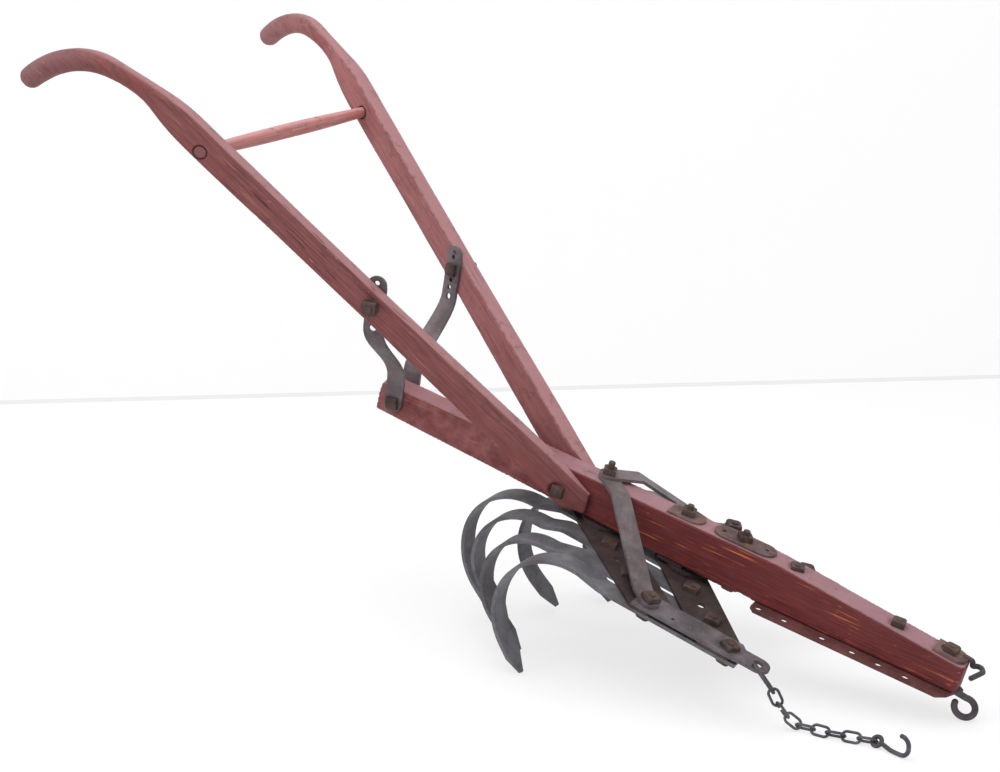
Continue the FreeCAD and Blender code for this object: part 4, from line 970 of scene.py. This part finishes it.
# ------------------------------------------------------------------ bolt threads
@dataclass
class Threads:
    """Raised threads on the bolt ends that stand out of their nuts.

    Each beam stud is the distance along the beam, height and length of a bolt end that stands
    upright on the beam, in millimetres.
    """
    core: float = 0.0059
    crest: float = 0.0065
    pitch: float = 0.00175
    first_turn: float = 0.001
    last_turn: float = 0.0012
    ring_corners: int = 24
    crest_corners: int = 6
    beam_studs: tuple[tuple[float, float, float], ...] = (
        (489.0, 23.0, 13.0), (658.0, 15.0, 8.0), (772.0, 15.0, 8.0))
    side_stud: tuple[float, float, float] = (420.0, 62.6, -40.0)
    side_length: float = 4.0

    def studs(self) -> list[tuple[Vector, Vector, float]]:
        """Lists the bolt ends of the beam.

        Returns:
            The middle of each nut's outer face, the way out of the nut, and the length in metres.
        """
        up = PITCH.way(0.0, 0.0, 1.0)
        found = [(PITCH.point(x, 0.0, z), up, length * MM) for x, z, length in self.beam_studs]
        found.append((PITCH.point(*self.side_stud), LEFTWARD, self.side_length * MM))
        return found

    def tree(self) -> Any:
        """Builds a Geometry Nodes tree that threads every edge of the input mesh.

        Returns:
            The tree, with the inputs Radius, Crest, Pitch and Material.
        """
        tree = bpy.data.node_groups.new("bolt_threads", "GeometryNodeTree")
        face = tree.interface
        face.new_socket("Geometry", in_out="INPUT", socket_type="NodeSocketGeometry")
        for name in ("Radius", "Crest", "Pitch"):
            face.new_socket(name, in_out="INPUT", socket_type="NodeSocketFloat")
        face.new_socket("Material", in_out="INPUT", socket_type="NodeSocketMaterial")
        face.new_socket("Geometry", in_out="OUTPUT", socket_type="NodeSocketGeometry")
        new, join = tree.nodes.new, tree.links.new
        given, result = new("NodeGroupInput"), new("NodeGroupOutput")
        curve = new("GeometryNodeMeshToCurve")
        join(given.outputs["Geometry"], curve.inputs["Mesh"])
        spread = new("GeometryNodeResampleCurve")
        spread.mode = "LENGTH"
        join(curve.outputs["Curve"], spread.inputs["Curve"])
        join(given.outputs["Pitch"], spread.inputs["Length"])
        points = new("GeometryNodeCurveToPoints")
        points.mode = "EVALUATED"
        join(spread.outputs["Curve"], points.inputs["Curve"])
        circles = []
        for radius, corners in (("Radius", self.ring_corners), ("Crest", self.crest_corners)):
            circle = new("GeometryNodeCurvePrimitiveCircle")
            circle.inputs["Resolution"].default_value = corners
            join(given.outputs[radius], circle.inputs["Radius"])
            circles.append(circle)
        turn = new("GeometryNodeCurveToMesh")
        join(circles[0].outputs["Curve"], turn.inputs["Curve"])
        join(circles[1].outputs["Curve"], turn.inputs["Profile Curve"])
        place = new("GeometryNodeInstanceOnPoints")
        join(points.outputs["Points"], place.inputs["Points"])
        join(turn.outputs["Mesh"], place.inputs["Instance"])
        aim = new("FunctionNodeAlignRotationToVector")
        aim.axis = "Z"
        join(points.outputs["Tangent"], aim.inputs["Vector"])
        join(aim.outputs["Rotation"], place.inputs["Rotation"])
        real = new("GeometryNodeRealizeInstances")
        join(place.outputs["Instances"], real.inputs["Geometry"])
        coat = new("GeometryNodeSetMaterial")
        join(real.outputs["Geometry"], coat.inputs["Geometry"])
        join(given.outputs["Material"], coat.inputs["Material"])
        join(coat.outputs["Geometry"], result.inputs["Geometry"])
        return tree

    def build(self, finishes: Finishes) -> None:
        """Makes the threads as one piece of the machine.

        Args:
            finishes: The finishes.
        """
        mesh = bpy.data.meshes.new("bolt_threads")
        points: list[Vector] = []
        for base, way, length in self.studs():
            points += [base + way * self.first_turn, base + way * (length - self.last_turn)]
        edges = [(i, i + 1) for i in range(0, len(points), 2)]
        mesh.from_pydata([tuple(p) for p in points], edges, [])
        obj = bpy.data.objects.new("bolt_threads_path", mesh)
        link(obj)
        tree = self.tree()
        modifier = obj.modifiers.new("threads", "NODES")
        modifier.node_group = tree
        values = {"Radius": self.core, "Crest": self.crest - self.core, "Pitch": self.pitch,
                  "Material": finishes.get(NUT)}
        for item in tree.interface.items_tree:
            if item.in_out == "INPUT" and item.name in values:
                modifier[item.identifier] = values[item.name]
        made = plain_mesh(obj, "bolt_threads")
        smooth(made.data)
        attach(made, "machine")
        LOG.info("threads: %d bolt ends", len(edges))


# ------------------------------------------------------------------ stage
@dataclass(frozen=True)
class Lamp:
    """A soft square lamp, placed across, behind and above the middle of the stage."""
    name: str
    across: float
    behind: float
    height: float
    size: float
    power: float


@dataclass
class Studio:
    """Pale floor, far pale wall, soft lamps and the camera.

    The floor and wall are one sheet with a small bend, and a low strip marks where they meet.
    """
    camera_at: tuple[float, float, float] = (1.59465, -3.137492, 1.528715)
    right: tuple[float, float, float] = (0.881854, 0.471522, 0.000456)
    down: tuple[float, float, float] = (0.133624, -0.248980, -0.959246)
    lens_mm: float = 70.6581
    sensor_mm: float = 36.0
    near: float = -9.0
    wall: float = 1.622
    top: float = 9.0
    half_width: float = 14.0
    wall_turn: float = math.radians(5.27)
    bend: float = 0.002
    bend_steps: int = 8
    seam_height: float = 0.011
    seam_gap: float = 0.004
    matt: float = 0.95
    mirrored: float = 0.1
    shown_share: float = 0.66
    floor_colour: Colour = (0.86, 0.86, 0.86)
    floor_shown: Colour = (1.0, 1.0, 1.0)
    seam_colour: Colour = (0.72, 0.72, 0.73)
    seam_shown: Colour = (0.91, 0.91, 0.92)
    aim_height: float = 0.4
    room_light: float = 0.62
    lamp_plan: tuple[Lamp, ...] = (Lamp("over", -0.3, -0.6, 3.4, 3.4, 72.0),
                                   Lamp("left", -3.0, -1.6, 2.3, 2.4, 34.0),
                                   Lamp("right", 3.0, -1.8, 2.0, 2.4, 26.0))

    def camera(self) -> None:
        """Sets the scene's camera."""
        data = bpy.data.cameras.new("view")
        data.sensor_width = self.sensor_mm
        data.lens = self.lens_mm
        camera = bpy.data.objects.new("view", data)
        right = Vector(self.right).normalized()
        up = (-Vector(self.down)).normalized()
        back = right.cross(up).normalized()
        up = back.cross(right)
        turn = Matrix((right, up, back)).transposed().to_4x4()
        camera.matrix_world = Matrix.Translation(self.camera_at) @ turn
        link(camera)
        bpy.context.scene.camera = camera

    def pale(self, name: str, colour: Colour, shown: Colour) -> Any:
        """A pale matt surface that takes shadow, and is clear when seen from its far side.

        Args:
            name: Name of the material.
            colour: Colour for the light it gives back.
            shown: Colour the eye sees, mixed in.

        Returns:
            The material.
        """
        s = Shader(name)
        s.bsdf.inputs["Base Color"].default_value = (*colour, 1.0)
        s.bsdf.inputs["Roughness"].default_value = self.matt
        s.bsdf.inputs["Specular IOR Level"].default_value = self.mirrored
        glow = s.node("ShaderNodeEmission")
        glow.inputs["Color"].default_value = (*shown, 1.0)
        path = s.node("ShaderNodeLightPath")
        seen = s.math("MAXIMUM", path.outputs["Is Camera Ray"], path.outputs["Is Glossy Ray"])
        seen = s.math("MAXIMUM", seen, path.outputs["Is Transmission Ray"])
        both = s.node("ShaderNodeMixShader")
        s.feed(both.inputs[0], s.times(seen, self.shown_share))
        s.feed(both.inputs[1], s.bsdf.outputs["BSDF"])
        s.feed(both.inputs[2], glow.outputs[0])
        one_sided = s.node("ShaderNodeMixShader")
        s.feed(one_sided.inputs[0], s.node("ShaderNodeNewGeometry").outputs["Backfacing"])
        s.feed(one_sided.inputs[1], both.outputs[0])
        s.feed(one_sided.inputs[2], s.node("ShaderNodeBsdfTransparent").outputs[0])
        s.feed(s.out.inputs["Surface"], one_sided.outputs[0])
        return s.material

    def ways(self, turn: float = 0.0) -> tuple[Vector, Vector]:
        """The level ways across the view and away from the camera.

        Args:
            turn: Angle by which both are turned to the left.

        Returns:
            The two unit vectors.
        """
        right = Vector(self.right)
        across = Vector((right.x, right.y, 0.0)).normalized()
        across = Matrix.Rotation(turn, 3, "Z") @ across
        return across, Vector((-across.y, across.x, 0.0))

    def sheet(self, name: str, rows: list[tuple[float, float]], material: Any) -> Any:
        """Makes a wide sheet that runs across the view.

        Args:
            name: Name of the piece.
            rows: Distance behind the middle of the stage, and height, of each line across it.
            material: Its material.

        Returns:
            The object.
        """
        across, back = self.ways(self.wall_turn)
        bm = bmesh.new()
        lines = [[bm.verts.new(back * out + across * (self.half_width * end) + UP * height)
                  for end in (-1, 1)] for out, height in rows]
        for a, b in zip(lines, lines[1:]):
            bm.faces.new((a[0], a[1], b[1], b[0]))
        return piece_from(bm, name, material)

    def sweep(self) -> None:
        """A floor and, a little way behind, an upright wall, with a thin line between them."""
        back = self.ways(self.wall_turn)[1]
        rows = [(self.near, 0.0)]
        for step in range(self.bend_steps + 1):
            angle = math.pi / 2 * step / self.bend_steps
            rows.append((self.wall - self.bend + self.bend * math.sin(angle),
                         self.bend - self.bend * math.cos(angle)))
        rows.append((self.wall, self.top))
        floor = self.sheet("sweep", rows,
                           self.pale("pale_sweep", self.floor_colour, self.floor_shown))
        turn_to(floor, UP - back)
        before_wall = self.wall - self.seam_gap
        line = self.sheet("seam", [(before_wall, 0.0), (before_wall, self.seam_height)],
                          self.pale("seam_line", self.seam_colour, self.seam_shown))
        turn_to(line, -back)

    def lamps(self) -> None:
        """Soft lamps overhead and on both sides, and an even light from all round."""
        across, back = self.ways()
        target = UP * self.aim_height
        for plan in self.lamp_plan:
            place = across * plan.across + back * plan.behind + UP * plan.height
            data = bpy.data.lights.new(plan.name, "AREA")
            data.size = plan.size
            data.energy = plan.power
            lamp = bpy.data.objects.new(plan.name, data)
            lamp.matrix_world = Matrix.Translation(place) @ (
                (target - place).to_track_quat("-Z", "Y").to_matrix().to_4x4())
            link(lamp)
        world = bpy.data.worlds.new("soft_room")
        world.use_nodes = True
        background = world.node_tree.nodes["Background"]
        background.inputs["Color"].default_value = (1.0, 1.0, 1.0, 1.0)
        background.inputs["Strength"].default_value = self.room_light
        bpy.context.scene.world = world

    def build(self) -> None:
        """Sets up the stage."""
        self.camera()
        self.sweep()
        self.lamps()
        bpy.context.scene.view_settings.view_transform = "Standard"
        LOG.info("studio: sweep, lamps and camera")


def main() -> None:
    """Builds the looks piece by piece."""
    logging.basicConfig(level=logging.INFO, format="%(message)s")
    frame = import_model()
    nodes = frame["nodes"]
    finishes = Finishes()
    Ironwork().build(nodes, finishes)
    Timber().build(nodes, finishes)
    Threads().build(finishes)
    Studio().build()


if __name__ == "__main__":
    main()
